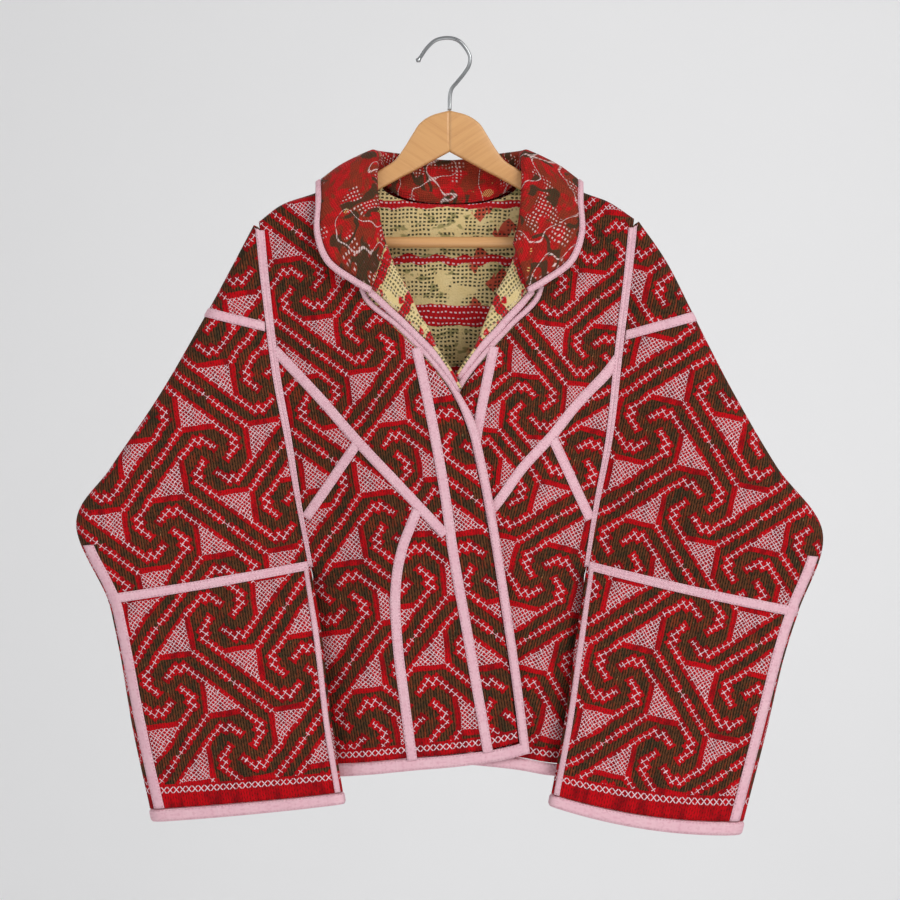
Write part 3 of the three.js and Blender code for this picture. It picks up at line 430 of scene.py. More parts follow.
def cloth_shell(name, points, outward, cut, border=None, materials=("stitched", "reverse"),
                half=HALF):
    """A closed sheet of cloth over a grid of points; its two faces have their own finishes."""
    rows, columns = points.shape[:2]
    normals = surface_normals(points, outward)
    back = rows * columns
    vertices = np.concatenate([
        (points + normals * half).reshape(-1, 3), (points - normals * half).reshape(-1, 3),
    ])
    flip = outward > 0
    outer = grid_faces(rows, columns, 0, flip)
    inner = grid_faces(rows, columns, back, not flip)
    ring = np.concatenate([
        np.arange(columns), np.arange(1, rows) * columns + columns - 1,
        (rows - 1) * columns + np.arange(columns - 2, -1, -1),
        np.arange(rows - 2, 0, -1) * columns,
    ])
    following = np.roll(ring, -1)
    rim = np.stack([ring, ring + back, following + back, following], -1)
    if flip:
        rim = rim[:, ::-1]
    faces = np.concatenate([outer, inner, rim])
    indices = np.concatenate([np.zeros(len(outer)), np.ones(len(inner)), np.zeros(len(rim))])
    if border is None:
        border = np.ones(points.shape[:2] + (2,))
    layers = {
        "cut": np.concatenate([cut.reshape(-1, 2)] * 2),
        "border": np.concatenate([border.reshape(-1, 2)] * 2),
    }
    return make_object(name, vertices, faces, materials, layers, indices)


DOME_POWER = 5
DOME_LEAST = 0.25
PUCKERS = table("height turns shift", [[0.16, 1.27, 0], [0.12, 0.53, 1.3]])


def end_quads(rows, count, across):
    """Faces that close a tube of rings at its two ends, each ring folded flat on itself."""
    quads = []
    for row, reverse in ((0, True), (rows - 1, False)):
        start = row * count
        for k in range(across - 1):
            quad = [start + k, start + k + 1, start + count - 2 - k, start + count - 1 - k]
            quads.append(quad[::-1] if reverse else quad)
    return np.array(quads)


def ring_quads(rows, count):
    """Faces between the rings of a tube."""
    j, i = np.mgrid[0:rows - 1, 0:count]
    a = (j * count + i).ravel()
    b = (j * count + (i + 1) % count).ravel()
    return np.stack([a, b, b + count, a + count], -1)


def tape_strip(name, points, outward, low, high, width):
    """A closed strip of tape over a grid of points, domed across, between two heights."""
    rows, columns = points.shape[:2]
    normals = surface_normals(points, outward)
    share = np.linspace(0, 1, columns)
    dome = (1 - np.abs(2 * share - 1) ** DOME_POWER) ** 0.5
    raised = np.maximum(dome, DOME_LEAST)
    middle = (low + high) / 2
    steps = np.linalg.norm(np.diff(points, axis=0), axis=-1).mean(axis=1)
    along = np.concatenate([[0], np.cumsum(steps)])
    pucker = sum(row["height"] * np.sin(along * row["turns"] + row["shift"]) for row in PUCKERS)
    top = middle + (high - middle) * raised + np.outer(pucker, dome)
    bottom = middle + (low - middle) * raised * np.ones((rows, 1))
    ring = np.concatenate([
        points + normals * top[..., None],
        (points + normals * bottom[..., None])[:, ::-1],
    ], axis=1)
    count = ring.shape[1]
    edge = np.minimum(share, 1 - share)
    u = np.concatenate([edge, edge[::-1]]) * width * MM
    cut = np.stack([np.broadcast_to(u, (rows, count)), np.repeat(along[:, None] * MM, count, 1)], -1)
    faces = np.concatenate([ring_quads(rows, count), end_quads(rows, count, columns)])
    if outward > 0:
        faces = faces[:, ::-1]
    piece = name.replace("tape_", "band_").replace("binding_", "bound_")
    return make_object(piece, ring.reshape(-1, 3), faces, ("tape",), {"cut": cut.reshape(-1, 2)})


def coons(top, bottom, left, right):
    """Four seams make a panel: top and bottom run across, left and right run down."""
    def at(s, t):
        s, t = np.broadcast_arrays(np.asarray(s, float), np.asarray(t, float))
        si, ti = s[..., None], t[..., None]
        t0, t1 = top(np.zeros_like(s)), top(np.ones_like(s))
        b0, b1 = bottom(np.zeros_like(s)), bottom(np.ones_like(s))
        return (
            (1 - ti) * top(s) + ti * bottom(s) + (1 - si) * left(t) + si * right(t)
            - (1 - si) * (1 - ti) * t0 - si * (1 - ti) * t1 - (1 - si) * ti * b0 - si * ti * b1
        )

    return at


def body_panel(name, grain, surface, seams, inset, border_at=None, materials=("stitched", "reverse")):
    """A body panel is its four seams, brought in a little at seams and bound edges."""
    shape = coons(seams["top"], seams["bottom"], seams["left"], seams["right"])

    def size(s, t):
        return np.linalg.norm(np.diff(shape(s, t), axis=0), axis=1).sum()

    run = np.linspace(0, 1, 9)
    width = max(size(run, np.full(9, t)) for t in (0.1, 0.5, 0.9))
    height = max(size(np.full(9, s), run) for s in (0.1, 0.5, 0.9))
    s = np.linspace(0, 1, max(int(round(width / CELL)), 3) + 1)
    t = np.linspace(0, 1, max(int(round(height / CELL)), 3) + 1)
    wide = np.maximum([size(run, np.full(9, each)) for each in t], 6)[:, None]
    tall = np.maximum([size(np.full(9, each), run) for each in s], 6)[None, :]
    left, right = inset["left"] / wide, inset["right"] / wide
    top, bottom = inset["top"] / tall, inset["bottom"] / tall
    places = shape(left + s[None, :] * (1 - left - right), top + t[:, None] * (1 - top - bottom))
    points = surface(places)
    cut = cut_map(grain, places[..., 0], places[..., 1])
    border = None
    if border_at is not None:
        border = border_at(places)
    outward = seams.get("outward", 1)
    cloth_shell(name, points, outward, cut, border, materials)


def line_strip(name, surface, course, start, end, width, low, high, offset=0.0):
    """A tape along a line of a body surface, centred on it or set to one side."""
    span = span_of(course)
    rows = max(int(round(span / 3)), 4)
    t = np.linspace(start, end, rows)
    across = np.linspace(-0.5, 0.5, 7) * width + offset
    places = np.stack([beside(course, away)(t) for away in across], 1)
    return tape_strip(name, surface(places), 1 if surface.face < 0 else -1, low, high, width)


def seam_tape(name, surface, course, before, after):
    """A tape along a seam, starting and ending some millimetres from its ends."""
    return line_strip(name, surface, course, before / course.span, 1 - after / course.span,
                      TAPE_WIDTH, TAPE_LOW, TAPE_HIGH)


def share_at_hem(course, hem):
    """The share of a seam at which it meets the hem."""
    return share_near(course, hem(share_near(hem, course(1))))


# Seams and edges of the fronts in the front view
FRONT_EDGE = {
    "right": Line(table("x z", [
        [-76, -129.5], [-84, -165], [-89, -205], [-82, -257], [-50, -286], [-21, -315], [5, -348],
        [25, -384], [36, -427], [46, -479], [57, -547], [69, -628], [80, -714],
    ])),
    "left": Line(table("x z", [
        [76, -129.5], [84, -165], [89, -205], [87, -255], [58.5, -286], [32, -315], [10, -343],
        [-8, -375], [-24, -430], [-36, -500], [-48, -580], [-62, -718],
    ])),
}
HEM = {
    "right": Line(table("x z", [
        [-166, -742], [-105, -738], [-36, -731], [9, -727], [55, -720.5], [80, -714],
    ])),
    "left": Line(table("x z", [[164, -742], [100, -737], [67, -731], [0, -724], [-62, -718]])),
}
DIAGONAL = {
    "right": Line(table("x z", [
        [-177.5, -309], [-128.5, -361.5], [-90.5, -404.5], [-47.5, -450.5], [-1.5, -499.5],
    ])),
    "left": Line(table("x z", [
        [169.5, -318], [154.5, -338.5], [124.5, -370], [101.5, -398.5], [72.5, -430.5],
        [45.5, -467.5], [16, -500],
    ])),
}
BRANCH = {
    "right": straight((-90.5, -404.5), (-147.3, -486)),
    "left": straight((101.5, -398.5), (143.5, -488)),
}
PLACKET = {
    "right": Line(table("x z", [
        [-35, -301], [-19, -375.5], [-4.5, -456.5], [3.5, -513.5], [18.5, -599.5], [40, -723],
    ])),
    "left": Line(table("x z", [
        [46, -299.5], [26.5, -401.5], [14, -500], [2, -590], [-14, -722],
    ])),
}
CURVE = Line(table("x z", [
    [-30.5, -468.5], [-47.5, -513.5], [-53.5, -553.5], [-51.5, -605.5], [-44.5, -662.5],
    [-35.5, -731],
]))
BOUND_FROM = {
    "right": share_near(FRONT_EDGE["right"], (-79, -260)),
    "left": share_near(FRONT_EDGE["left"], (84, -258)),
}
NECK_END = {
    "right": share_near(FRONT_EDGE["right"], (12, -360)),
    "left": share_near(FRONT_EDGE["left"], (4, -352)),
}
NECK_BINDING = 5.8
PLACKET_TOP = 19.0
EDGES = {"top": SEAM, "bottom": SEAM, "left": SEAM, "right": SEAM}
TAPE_LOW = HALF + 0.1
TAPE_HIGH = HALF + 1.6
BOUND_HALF = HALF + TAPE
HEM_BORDER_DROP = 8.5


def hem_border(hem):
    """How far along and above a hem each place lies, in metres."""
    shares = np.linspace(0, 1, 400)
    line = hem(shares)

    def at(places):
        flat = places.reshape(-1, 2)
        near = np.full(len(flat), 1e9)
        along = np.zeros(len(flat))
        for k in range(0, len(line), 4):
            away = np.hypot(flat[:, 0] - line[k, 0], flat[:, 1] - line[k, 1])
            closer = away < near
            near = np.where(closer, away, near)
            along = np.where(closer, flat[:, 0], along)
        return np.stack([along, near + HEM_BORDER_DROP], -1).reshape(places.shape) * MM

    return at


def build_front(side):
    surface = FRONT[side]
    outward = 1 if side == "right" else -1
    side_line, diagonal, branch, placket = SIDE_LINE[side], DIAGONAL[side], BRANCH[side], PLACKET[side]
    front_edge = FRONT_EDGE[side]
    shoulder = Line(SHOULDER_ROWS[side][:4])
    start = BOUND_FROM[side]
    hem_in = HEM_BINDING_WIDTH + BINDING_GAP
    bound_in = BINDING_WIDTH + BINDING_GAP

    def bound_width(share):
        wider = smoothstep(share, NECK_END[side] - 0.03, NECK_END[side] + 0.05)
        return NECK_BINDING + (BINDING_WIDTH - NECK_BINDING) * wider

    edge = beside(front_edge, lambda share: INWARD[side] * (
        SEAM + (bound_width(share) + BINDING_GAP - SEAM)
        * smoothstep(share, start - 0.016, start - 0.004)))
    hem = beside(HEM[side], -INWARD[side] * hem_in)
    border_at = hem_border(hem)
    fork = share_near(diagonal, branch(0))
    meet = PLACKET_TOP / placket.span
    neck_at = share_near(edge, placket(meet))
    placket_end = share_at_hem(placket, hem)
    low = share_near(placket, diagonal(1))

    body_panel("cloth_yoke_" + side, "yoke_" + side, surface, {
        "top": shoulder,
        "left": stretch(side_line, 0, share_at_height(side_line, diagonal(0)[1])),
        "bottom": diagonal,
        "right": joined(stretch(edge, 0, neck_at), stretch(placket, meet, low), 0.48),
        "outward": outward,
    }, EDGES)
    body_panel("cloth_side_" + side, "side_" + side, surface, {
        "top": stretch(diagonal, 0, fork),
        "left": stretch(side_line, share_at_height(side_line, diagonal(0)[1]),
                        share_at_height(side_line, branch(1)[1])),
        "bottom": turned(branch),
        "right": point_at(branch(0)),
        "outward": outward,
    }, {**EDGES, "right": 3})
    lower_top = share_near(diagonal, CURVE(0)) if side == "right" else 1
    inner = CURVE if side == "right" else stretch(placket, low, 1)
    inner_end = share_at_hem(inner, hem)
    body_panel("cloth_lower_" + side, "lower_" + side, surface, {
        "top": joined(turned(branch), stretch(diagonal, fork, lower_top), 0.55),
        "left": stretch(side_line, share_at_height(side_line, branch(1)[1]),
                        1 - hem_in / side_line.span),
        "bottom": stretch(hem, 0, share_near(hem, inner(1))),
        "right": stretch(inner, 0, inner_end),
        "outward": outward,
    }, EDGES, border_at)
    body_panel("cloth_placket_" + side, "placket_" + side, surface, {
        "top": point_at(placket(meet)),
        "left": stretch(placket, meet, placket_end),
        "bottom": stretch(hem, share_near(hem, placket(1)), 1 - bound_in / HEM[side].span),
        "right": stretch(edge, neck_at, 1 - hem_in / front_edge.span),
        "outward": outward,
    }, {**EDGES, "top": 3}, border_at)
    shares = np.linspace(start - 0.018, 1, int(round(front_edge.span * (1 - start) / 3)))
    places = [
        beside(front_edge, lambda share, part=part: INWARD[side] * part * bound_width(share))(shares)
        for part in np.linspace(0, 1, 7)[::INWARD[side]]
    ]
    tape_strip("binding_front_" + side, surface(np.stack(places, 1)), 1, -BOUND_HALF, BOUND_HALF,
               BINDING_WIDTH)
    line_strip("binding_hem_" + side, surface, HEM[side], 0.003, 1, HEM_BINDING_WIDTH,
               -BOUND_HALF, BOUND_HALF, -INWARD[side] * HEM_BINDING_WIDTH / 2)
    seam_tape("tape_placket_" + side, surface, placket, PLACKET_TOP - 9, 10)
    seam_tape("tape_diagonal_" + side, surface, diagonal, 3, 4)
    line_strip("tape_branch_" + side, surface, branch, 0.03, 0.93, TAPE_WIDTH,
               TAPE_LOW, TAPE_HIGH - 0.2)


def build_centre():
    surface, diagonal, placket = FRONT["right"], DIAGONAL["right"], PLACKET["right"]
    hem = beside(HEM["right"], HEM_BINDING_WIDTH + BINDING_GAP)
    curve_end = share_at_hem(CURVE, hem)
    placket_end = share_at_hem(placket, hem)
    body_panel("cloth_centre_right", "centre_right", surface, {
        "top": stretch(diagonal, share_near(diagonal, CURVE(0)), 1),
        "left": stretch(CURVE, 0, curve_end),
        "bottom": stretch(hem, share_near(hem, CURVE(1)), share_near(hem, placket(1))),
        "right": stretch(placket, share_near(placket, diagonal(1)), placket_end),
        "outward": 1,
    }, EDGES, hem_border(hem))
    seam_tape("tape_curve_right", surface, CURVE, 4, 10)


BACK_TOP = Line(table("x z", [
    [-191, -184], [-168, -167], [-134, -155], [-76, -129.5], [-66, -150], [-40, -161], [0, -164],
    [40, -161], [66, -150], [76, -129.5], [136, -155.5], [159, -164], [185, -181],
]))
BACK_HEM = Line(table("x z", [[-166, -734], [-90, -733], [0, -727], [90, -725], [164, -730]]))


def build_back():
    hem = beside(BACK_HEM, HEM_BINDING_WIDTH + BINDING_GAP)
    body_panel("cloth_back", "back", BACK, {
        "top": BACK_TOP,
        "bottom": hem,
        "left": stretch(SIDE_LINE["right"], 0, 0.978),
        "right": stretch(SIDE_LINE["left"], 0, 0.978),
        "outward": -1,
    }, EDGES, hem_border(hem), ("stitched", "lining"))
    line_strip("binding_hem_back", BACK, BACK_HEM, 0.003, 0.997, HEM_BINDING_WIDTH,
               -BOUND_HALF, BOUND_HALF, HEM_BINDING_WIDTH / 2)


# Each sleeve by stations from the shoulder point to the cuff: its outer fold, its inner seam,
# the depth of its middle and its half thickness at both, the swell between, the inner fold's
# roundness, and how far the station bows down
STATION = "at outerX outerZ innerX innerZ depthIn depthOut halfIn halfOut swell foldIn sag"
SLEEVE_ROWS = {
    "right": table(STATION, [
        [0, -194, -184, -191, -187, 0, -1, 9, 8, 0, 0, 0],
        [1, -219.5, -232.5, -186, -238, 0, -2, 9, 9, 2, 0, 0],
        [2, -242.5, -275, -179.5, -290, 0, -3, 8.5, 10, 5, 0, 0],
        [3, -290, -357, -168, -372, 0, -5, 7.2, 11, 8, 0, 0],
        [4, -339, -430, -156.5, -432, 0, -7, 5.5, 12, 10, 0, 0],
        [5, -374, -486, -148, -482, 0, -8, 3.6, 12, 11, 0, 0],
        [6, -342, -562, -139.5, -528, 0, -9, 2.2, 12, 10, 3, 1],
        [6.4, -336, -586, -134, -558, -16, -10, 5, 12, 8, 5, 1],
        [7, -329, -622, -126.5, -605, -29, -11, 8, 12, 6, 8, 1],
        [8, -315, -697, -117, -685, -38, -13, 9, 12, 5, 9, 1],
        [9, -297, -784, -104, -763, -43.5, -14, 9.5, 12, 5, 9, 1],
    ]),
    "left": table(STATION, [
        [0, 187.5, -181, 185, -184, 0, -1, 9, 8, 0, 0, 0],
        [1, 217, -224, 179, -238, 0, -2, 9, 9, 2, 0, 0],
        [2, 245, -279, 171.5, -299, 0, -3, 8.5, 10, 5, 0, 0],
        [3, 283, -353, 165, -368, 0, -5, 7.2, 11, 8, 0, 0],
        [4, 328, -430, 154, -432, 0, -7, 5.5, 12, 10, 0, 0],
        [5, 374, -496, 145, -482, 0, -8, 3.6, 12, 11, 0, 0],
        [6, 349, -575, 137.5, -528, 0, -9, 2.2, 12, 10, 3, 2],
        [6.4, 342, -596, 132.5, -558, -16, -10, 5, 12, 8, 5, 2],
        [7, 333, -628, 125.5, -605, -29, -11, 8, 12, 6, 8, 3],
        [8, 314, -703, 114, -685, -38, -13, 9, 12, 5, 9, 6],
        [9, 291, -797, 99, -765, -43.5, -14, 9.5, 12, 5, 9, 8],
    ]),
}
CAP_STATION = 2
ELBOW_STATION = 6
CUFF_STATION = 9
FIRST_STATION = 0.06
OUTER_SEAM = profile(
    table("at round", [[6, 0.96], [7, 0.955], [8, 0.95], [9, 0.94]]), "at", "round")


def sleeve_rows(side):
    rows = SLEEVE_ROWS[side]
    columns = {name: profile(rows, "at", name) for name in rows[0] if name != "at"}

    def at(station):
        row = {name: column(station) for name, column in columns.items()}
        above = station < ELBOW_STATION
        row["innerX"] = np.where(above, SIDE_X[side](row["innerZ"]), row["innerX"])
        row["halfIn"] = np.where(above, -DEPTH["frontSide"](row["innerZ"]), row["halfIn"])
        row["depthIn"] = np.where(above, 0, row["depthIn"])
        row["width"] = np.hypot(row["outerX"] - row["innerX"], row["outerZ"] - row["innerZ"])
        return row

    return at


def sleeve_surface(side):
    """A place on the sleeve's cloth: round is 0 at the inner seam in front, 1 at the outer fold
    and 2 at the inner seam behind."""
    rows = sleeve_rows(side)

    def at(station, round_):
        station, round_ = np.broadcast_arrays(np.asarray(station, float), np.asarray(round_, float))
        row = rows(station)
        share = np.where(round_ <= 1, round_, 2 - round_)
        face = np.where(round_ <= 1, -1, 1)
        bow = 4 * share * (1 - share)
        outer = round_over((1 - share) * row["width"], np.minimum(FOLD_RADIUS, row["width"] * 0.5))
        opening = smoothstep(station, 5.6, 7)
        fold = round_over(share * row["width"], np.maximum(row["foldIn"], 1))
        inner = 1 + (fold - 1) * opening
        x = row["innerX"] + (row["outerX"] - row["innerX"]) * share
        z = row["innerZ"] + (row["outerZ"] - row["innerZ"]) * share - row["sag"] * bow
        quiet = np.sqrt(np.clip(bow * 1.6, 0, 1))
        crease = fold_height(SLEEVE_CREASES, x, z) * quiet * np.where(face < 0, 1, 0.7)
        half = row["halfIn"] + (row["halfOut"] - row["halfIn"]) * share + row["swell"] * bow + crease
        y = row["depthIn"] + (row["depthOut"] - row["depthIn"]) * share + face * half * outer * inner
        return np.stack([x, y, z], -1)

    at.rows = rows
    return at


def mm_share(rows, station, size):
    return size / rows(station)["width"]


def unrolled(points, side):
    """The place across the cloth of each point of a sleeve: its way round, laid out flat."""
    steps = np.hypot(np.diff(points[..., 0], axis=1), np.diff(points[..., 1], axis=1))
    way = np.concatenate([np.zeros((len(points), 1)), np.cumsum(steps, axis=1)], 1)
    return points[:, :1, 0] + INWARD[side] * way


def opened_out(points, start, end):
    """Where a sleeve's back falls on the flat cloth when it is opened out about its outer fold."""
    way = (end - start) / np.linalg.norm(end - start)
    from_fold = points[..., [0, 2]] - start
    along = (from_fold @ way)[..., None] * way
    return start + 2 * along - from_fold


def sleeve_panel(name, grain, side, start, end, rounds, border=False, outer_first=False):
    surface = sleeve_surface(side)
    length = (end - start) * STATION_LENGTH
    t = np.linspace(0, 1, int(round(length / CELL)) + 1)
    stations = (start + t * (end - start))[:, None]
    points = surface(stations, rounds(stations))
    across = unrolled(points, side)
    if outer_first:
        across = across + (surface(stations[:, 0], np.full(len(t), 1.0))[:, :1] - across[:, :1])
    place = np.stack([across, points[..., 2]], -1)
    if not border:
        fold = surface(stations[:, 0], np.full(len(t), 1.0))[:, [0, 2]]
        behind = (rounds(stations) > 1)[..., None]
        place = np.where(behind, opened_out(points, fold[0], fold[len(t) * 2 // 3]), place)
    cut = cut_map(grain, place[..., 0], place[..., 1])
    edge = None
    if border:
        away = (CUFF_STATION - stations) * STATION_LENGTH - HEM_BINDING_WIDTH - BINDING_GAP
        edge = np.stack([across * MM, np.broadcast_to(away * MM, across.shape)], -1)
    cloth_shell(name, points, INWARD[side], cut, edge)


FOLD_EASE = 0.405 / (math.pi * 2)


def round_grid(low, high, width):
    """Places round a sleeve, closer together where the cloth turns over its folds."""
    share = np.linspace(0, 1, max(int(round(width / CELL)), 8) + 1)

    def at(stations):
        start, end = low(stations), high(stations)
        even = start + (end - start) * share[None, :]
        eased = even - FOLD_EASE * np.sin(math.pi * 2 * even)
        first, last = eased[:, :1], eased[:, -1:]
        return start + (eased - first) / (last - first) * (end - start)

    return at


def sleeve_strip(name, surface, stations, rounds, low, high, width):
    """A tape on a sleeve from two grids, of its stations and its places round."""
    outward = surface.turn
    return tape_strip(name, surface(stations, rounds), outward, low, high, width)


# How far round the sleeve each of its panels reaches, to choose how finely it is drawn
ROUND_WHOLE = 420
ROUND_CAP = 130
ROUND_FRONT = 205
ROUND_BACK = 215
# The sleeve's tapes: the stations where they start, their places round, how they narrow, and
# the run of the tape on the side seam below
ARMHOLE_FROM = 0.1
ARMHOLE_PAST_ELBOW = 0.02
ARMHOLE_NARROWING = 0.38
OUTER_SEAM_FROM = 5.3
UNDERARM_FROM = 6.04
UNDERARM_PLACE = 0.028
UNDERARM_NARROW = 0.45
ELBOW_CLEAR = 3.0
ELBOW_SPLIT = 0.015
SIDE_TAPE_RUN = 198.0
SIDE_TAPE_IN = 6.5
ACROSS_TAPE = (np.linspace(0, 1, 7) - 0.5)[None, :]


def build_sleeve_cloth(side, rows):
    seam = 0.4 / STATION_LENGTH
    bound = (HEM_BINDING_WIDTH + BINDING_GAP) / STATION_LENGTH

    def gap(at):
        return mm_share(rows, at, 1 + smoothstep(at, 4, 6))

    whole = round_grid(gap, lambda at: 2 - gap(at), ROUND_WHOLE)
    cap = round_grid(gap, lambda at: 2 - gap(at), ROUND_CAP)
    sleeve_panel("cloth_cap_" + side, "sleeve_upper_" + side, side, FIRST_STATION,
                 CAP_STATION - seam, cap)
    sleeve_panel("cloth_sleeve_upper_" + side, "sleeve_upper_" + side, side, CAP_STATION + seam,
                 ELBOW_STATION - seam, whole)
    sleeve_panel("cloth_sleeve_front_" + side, "sleeve_lower_" + side, side, ELBOW_STATION + seam,
                 CUFF_STATION - bound,
                 round_grid(lambda at: mm_share(rows, at, UNDERARM_GAP),
                            lambda at: OUTER_SEAM(at) - mm_share(rows, at, SEAM), ROUND_FRONT), True)
    sleeve_panel("cloth_sleeve_back_" + side, "sleeve_lower_" + side, side, ELBOW_STATION + seam,
                 CUFF_STATION - bound,
                 round_grid(lambda at: OUTER_SEAM(at) + mm_share(rows, at, SEAM),
                            lambda at: 2 - mm_share(rows, at, UNDERARM_GAP * 2), ROUND_BACK),
                 True, True)


def build_armhole_tapes(side, surface, rows):
    """Half of each tape lies on the sleeve and half on the body, on the front and the back."""
    sign = -INWARD[side]
    for face, word in ((-1, "front"), (1, "back")):
        body = FRONT[side] if face < 0 else BACK
        station = np.linspace(ARMHOLE_FROM, ELBOW_STATION + ARMHOLE_PAST_ELBOW, 100)[:, None]
        row = rows(station)
        reach = ACROSS_TAPE * TAPE_WIDTH * (1 - ARMHOLE_NARROWING * smoothstep(station, 2, 6))
        share = np.abs(reach) / row["width"]
        on_sleeve = surface(station, share if face < 0 else 2 - share)
        on_body = body(np.stack([
            row["innerX"] + sign * np.abs(reach), row["innerZ"] + 0 * reach], -1))
        points = np.where((reach < 0)[..., None], on_sleeve, on_body)
        tape_strip("tape_armhole_" + word + "_" + side, points, INWARD[side] * face,
                   TAPE_LOW + 0.3, TAPE_HIGH + 0.4, TAPE_WIDTH)


def build_ring_tapes(side, surface, rows):
    """The tapes that run round the sleeve, below the cap and at the elbow."""
    def run(station, share):
        a, b = rows(station - 0.05), rows(station + 0.05)
        inner = np.hypot(a["innerX"] - b["innerX"], a["innerZ"] - b["innerZ"])
        outer = np.hypot(a["outerX"] - b["outerX"], a["outerZ"] - b["outerZ"])
        return (inner + (outer - inner) * share) / 0.1

    def ring_tape(name, station, start, end, count):
        rounds = np.linspace(start, end, count)[:, None]
        share = np.where(rounds <= 1, rounds, 2 - rounds)
        stations = station + ACROSS_TAPE * TAPE_WIDTH / run(station, share)
        tape_strip(name, surface(stations, rounds + 0 * stations), -INWARD[side],
                   TAPE_LOW, TAPE_HIGH, TAPE_WIDTH)

    clear = mm_share(rows, CAP_STATION, TAPE_WIDTH / 2 + 1)
    ring_tape("tape_cap_" + side, CAP_STATION, clear, 2 - clear, 60)
    clear = mm_share(rows, ELBOW_STATION, ELBOW_CLEAR)
    ring_tape("tape_elbow_front_" + side, ELBOW_STATION, clear, 1 - ELBOW_SPLIT, 90)
    ring_tape("tape_elbow_back_" + side, ELBOW_STATION, 1 + ELBOW_SPLIT, 2 - clear, 90)


def build_sleeve(side):
    surface = sleeve_surface(side)
    rows = surface.rows
    surface.turn = INWARD[side]
    build_sleeve_cloth(side, rows)
    build_armhole_tapes(side, surface, rows)
    build_ring_tapes(side, surface, rows)

    end = CUFF_STATION - (HEM_BINDING_WIDTH + 1) / STATION_LENGTH
    station = np.linspace(OUTER_SEAM_FROM, end, 90)[:, None]
    place = OUTER_SEAM(station) + ACROSS_TAPE * TAPE_WIDTH / rows(station)["width"]
    sleeve_strip("tape_outer_seam_" + side, surface, station + 0 * place, place,
                 TAPE_LOW, TAPE_HIGH, TAPE_WIDTH)
    station = np.linspace(UNDERARM_FROM, end, 80)[:, None]
    place = UNDERARM_PLACE + ACROSS_TAPE * TAPE_WIDTH / rows(station)["width"] * UNDERARM_NARROW
    sleeve_strip("tape_underarm_" + side, surface, station + 0 * place, np.maximum(place, 0.004),
                 TAPE_LOW, TAPE_HIGH, TAPE_WIDTH)

    low = mm_share(rows, CUFF_STATION, UNDERARM_GAP)
    rounds = round_grid(lambda at: low, lambda at: 2 - low, ROUND_WHOLE)(np.array([[CUFF_STATION]]))
    stations = CUFF_STATION - np.linspace(0, 1, 7)[None, :] * HEM_BINDING_WIDTH / STATION_LENGTH
    points = surface(stations + 0 * rounds.T, rounds.T + 0 * stations)
    tape_strip("binding_cuff_" + side, points, INWARD[side], -BOUND_HALF, BOUND_HALF,
               HEM_BINDING_WIDTH)

    def side_course(t):
        z = UNDERARM_Z - np.asarray(t, float) * SIDE_TAPE_RUN
        return np.stack([SIDE_X[side](z) - INWARD[side] * SIDE_TAPE_IN, z], -1)

    line_strip("tape_side_" + side, BACK, side_course, 0, 1, TAPE_WIDTH, TAPE_LOW, TAPE_HIGH)


# The turned collar by stations from a front end round to the back of the neck: its foot at the
# neck seam, the crest of its roll and the free edge of its leaf; lean is the way its outside
# faces, 0 forwards, 90 up, 180 back
COLLAR_COLUMNS = "footX footY footZ crestX crestY crestZ edgeX edgeY edgeZ lean"
COLLAR_RIGHT = table(COLLAR_COLUMNS, [
    [-76, -19, -224, -64.5, -25, -207, -79, -33, -257, 0],
    [-79, -18, -214, -67.5, -24, -196, -98, -32.5, -246, 0],
    [-82, -16, -203, -70, -22.5, -184, -124, -30, -226, 5],
    [-81.5, -14, -178, -72, -19.5, -166, -135, -25, -197, 18],
    [-76.2, -10.5, -146, -73.5, -15, -140, -134, -21, -166, 45],
    [-73.5, -9, -133, -73.5, -7, -119, -134, -13, -151.5, 66],
    [-73, 0, -127.6, -73.5, 0, -114, -134, 0, -145, 90],
    [-72, 8.5, -133, -72.5, 7, -113, -132, 12, -151, 108],
    [-66.5, 11, -142, -69, 12, -112.5, -124, 19, -163, 125],
    [-53, 13.5, -154.5, -50, 19, -114, -88, 28, -185, 150],
    [-28, 14.5, -161.6, -25, 23, -118, -42, 31, -192, 172],
    [0, 15, -163.2, 0, 24, -120, 0, 32, -194, 180],
])
LEAF_BULGE = 3.0
COLLAR_BINDING = 7.4
COLLAR_BOUND_FROM = 7 / 8


def collar_section(row):
    """The collar's middle from the foot over the roll to the leaf's edge."""
    lean = math.radians(row["lean"])
    foot, crest, edge = (
        np.array([row[part + axis] for axis in "XYZ"], float) for part in ("foot", "crest", "edge"))
    away = (edge - crest) / np.linalg.norm(edge - crest)
    out = np.array([0, -math.cos(lean), math.sin(lean)])
    out = out - away * out.dot(away)
    out = out / np.linalg.norm(out)

    def near(side, along):
        return crest + away * along * ROLL_RADIUS + out * side * ROLL_RADIUS

    turn = abs(math.cos(lean))
    middle = (near(1, 1.2) + edge) / 2 + out * LEAF_BULGE
    bound = edge - away * COLLAR_BINDING + out * LEAF_BULGE * 0.4
    return np.array([
        foot, near(-1, 0.1 + 1.1 * turn), near(-0.8, 0.4 * turn), crest,
        near(0.8, 0.4), near(1, 1.2), middle, bound, edge,
    ])


def collar_sections():
    right = [dict(row) for row in COLLAR_RIGHT]
    left = [{**row, "footX": -row["footX"], "crestX": -row["crestX"], "edgeX": -row["edgeX"]}
            for row in COLLAR_RIGHT]
    for row in right:
        forward = LAP_DEPTH * max(math.cos(math.radians(row["lean"])), 0)
        for part in ("foot", "crest", "edge"):
            row[part + "Y"] -= forward * float(lap_share(row[part + "X"], row[part + "Z"]))
    return np.array([collar_section(row) for row in right + left[:-1][::-1]])


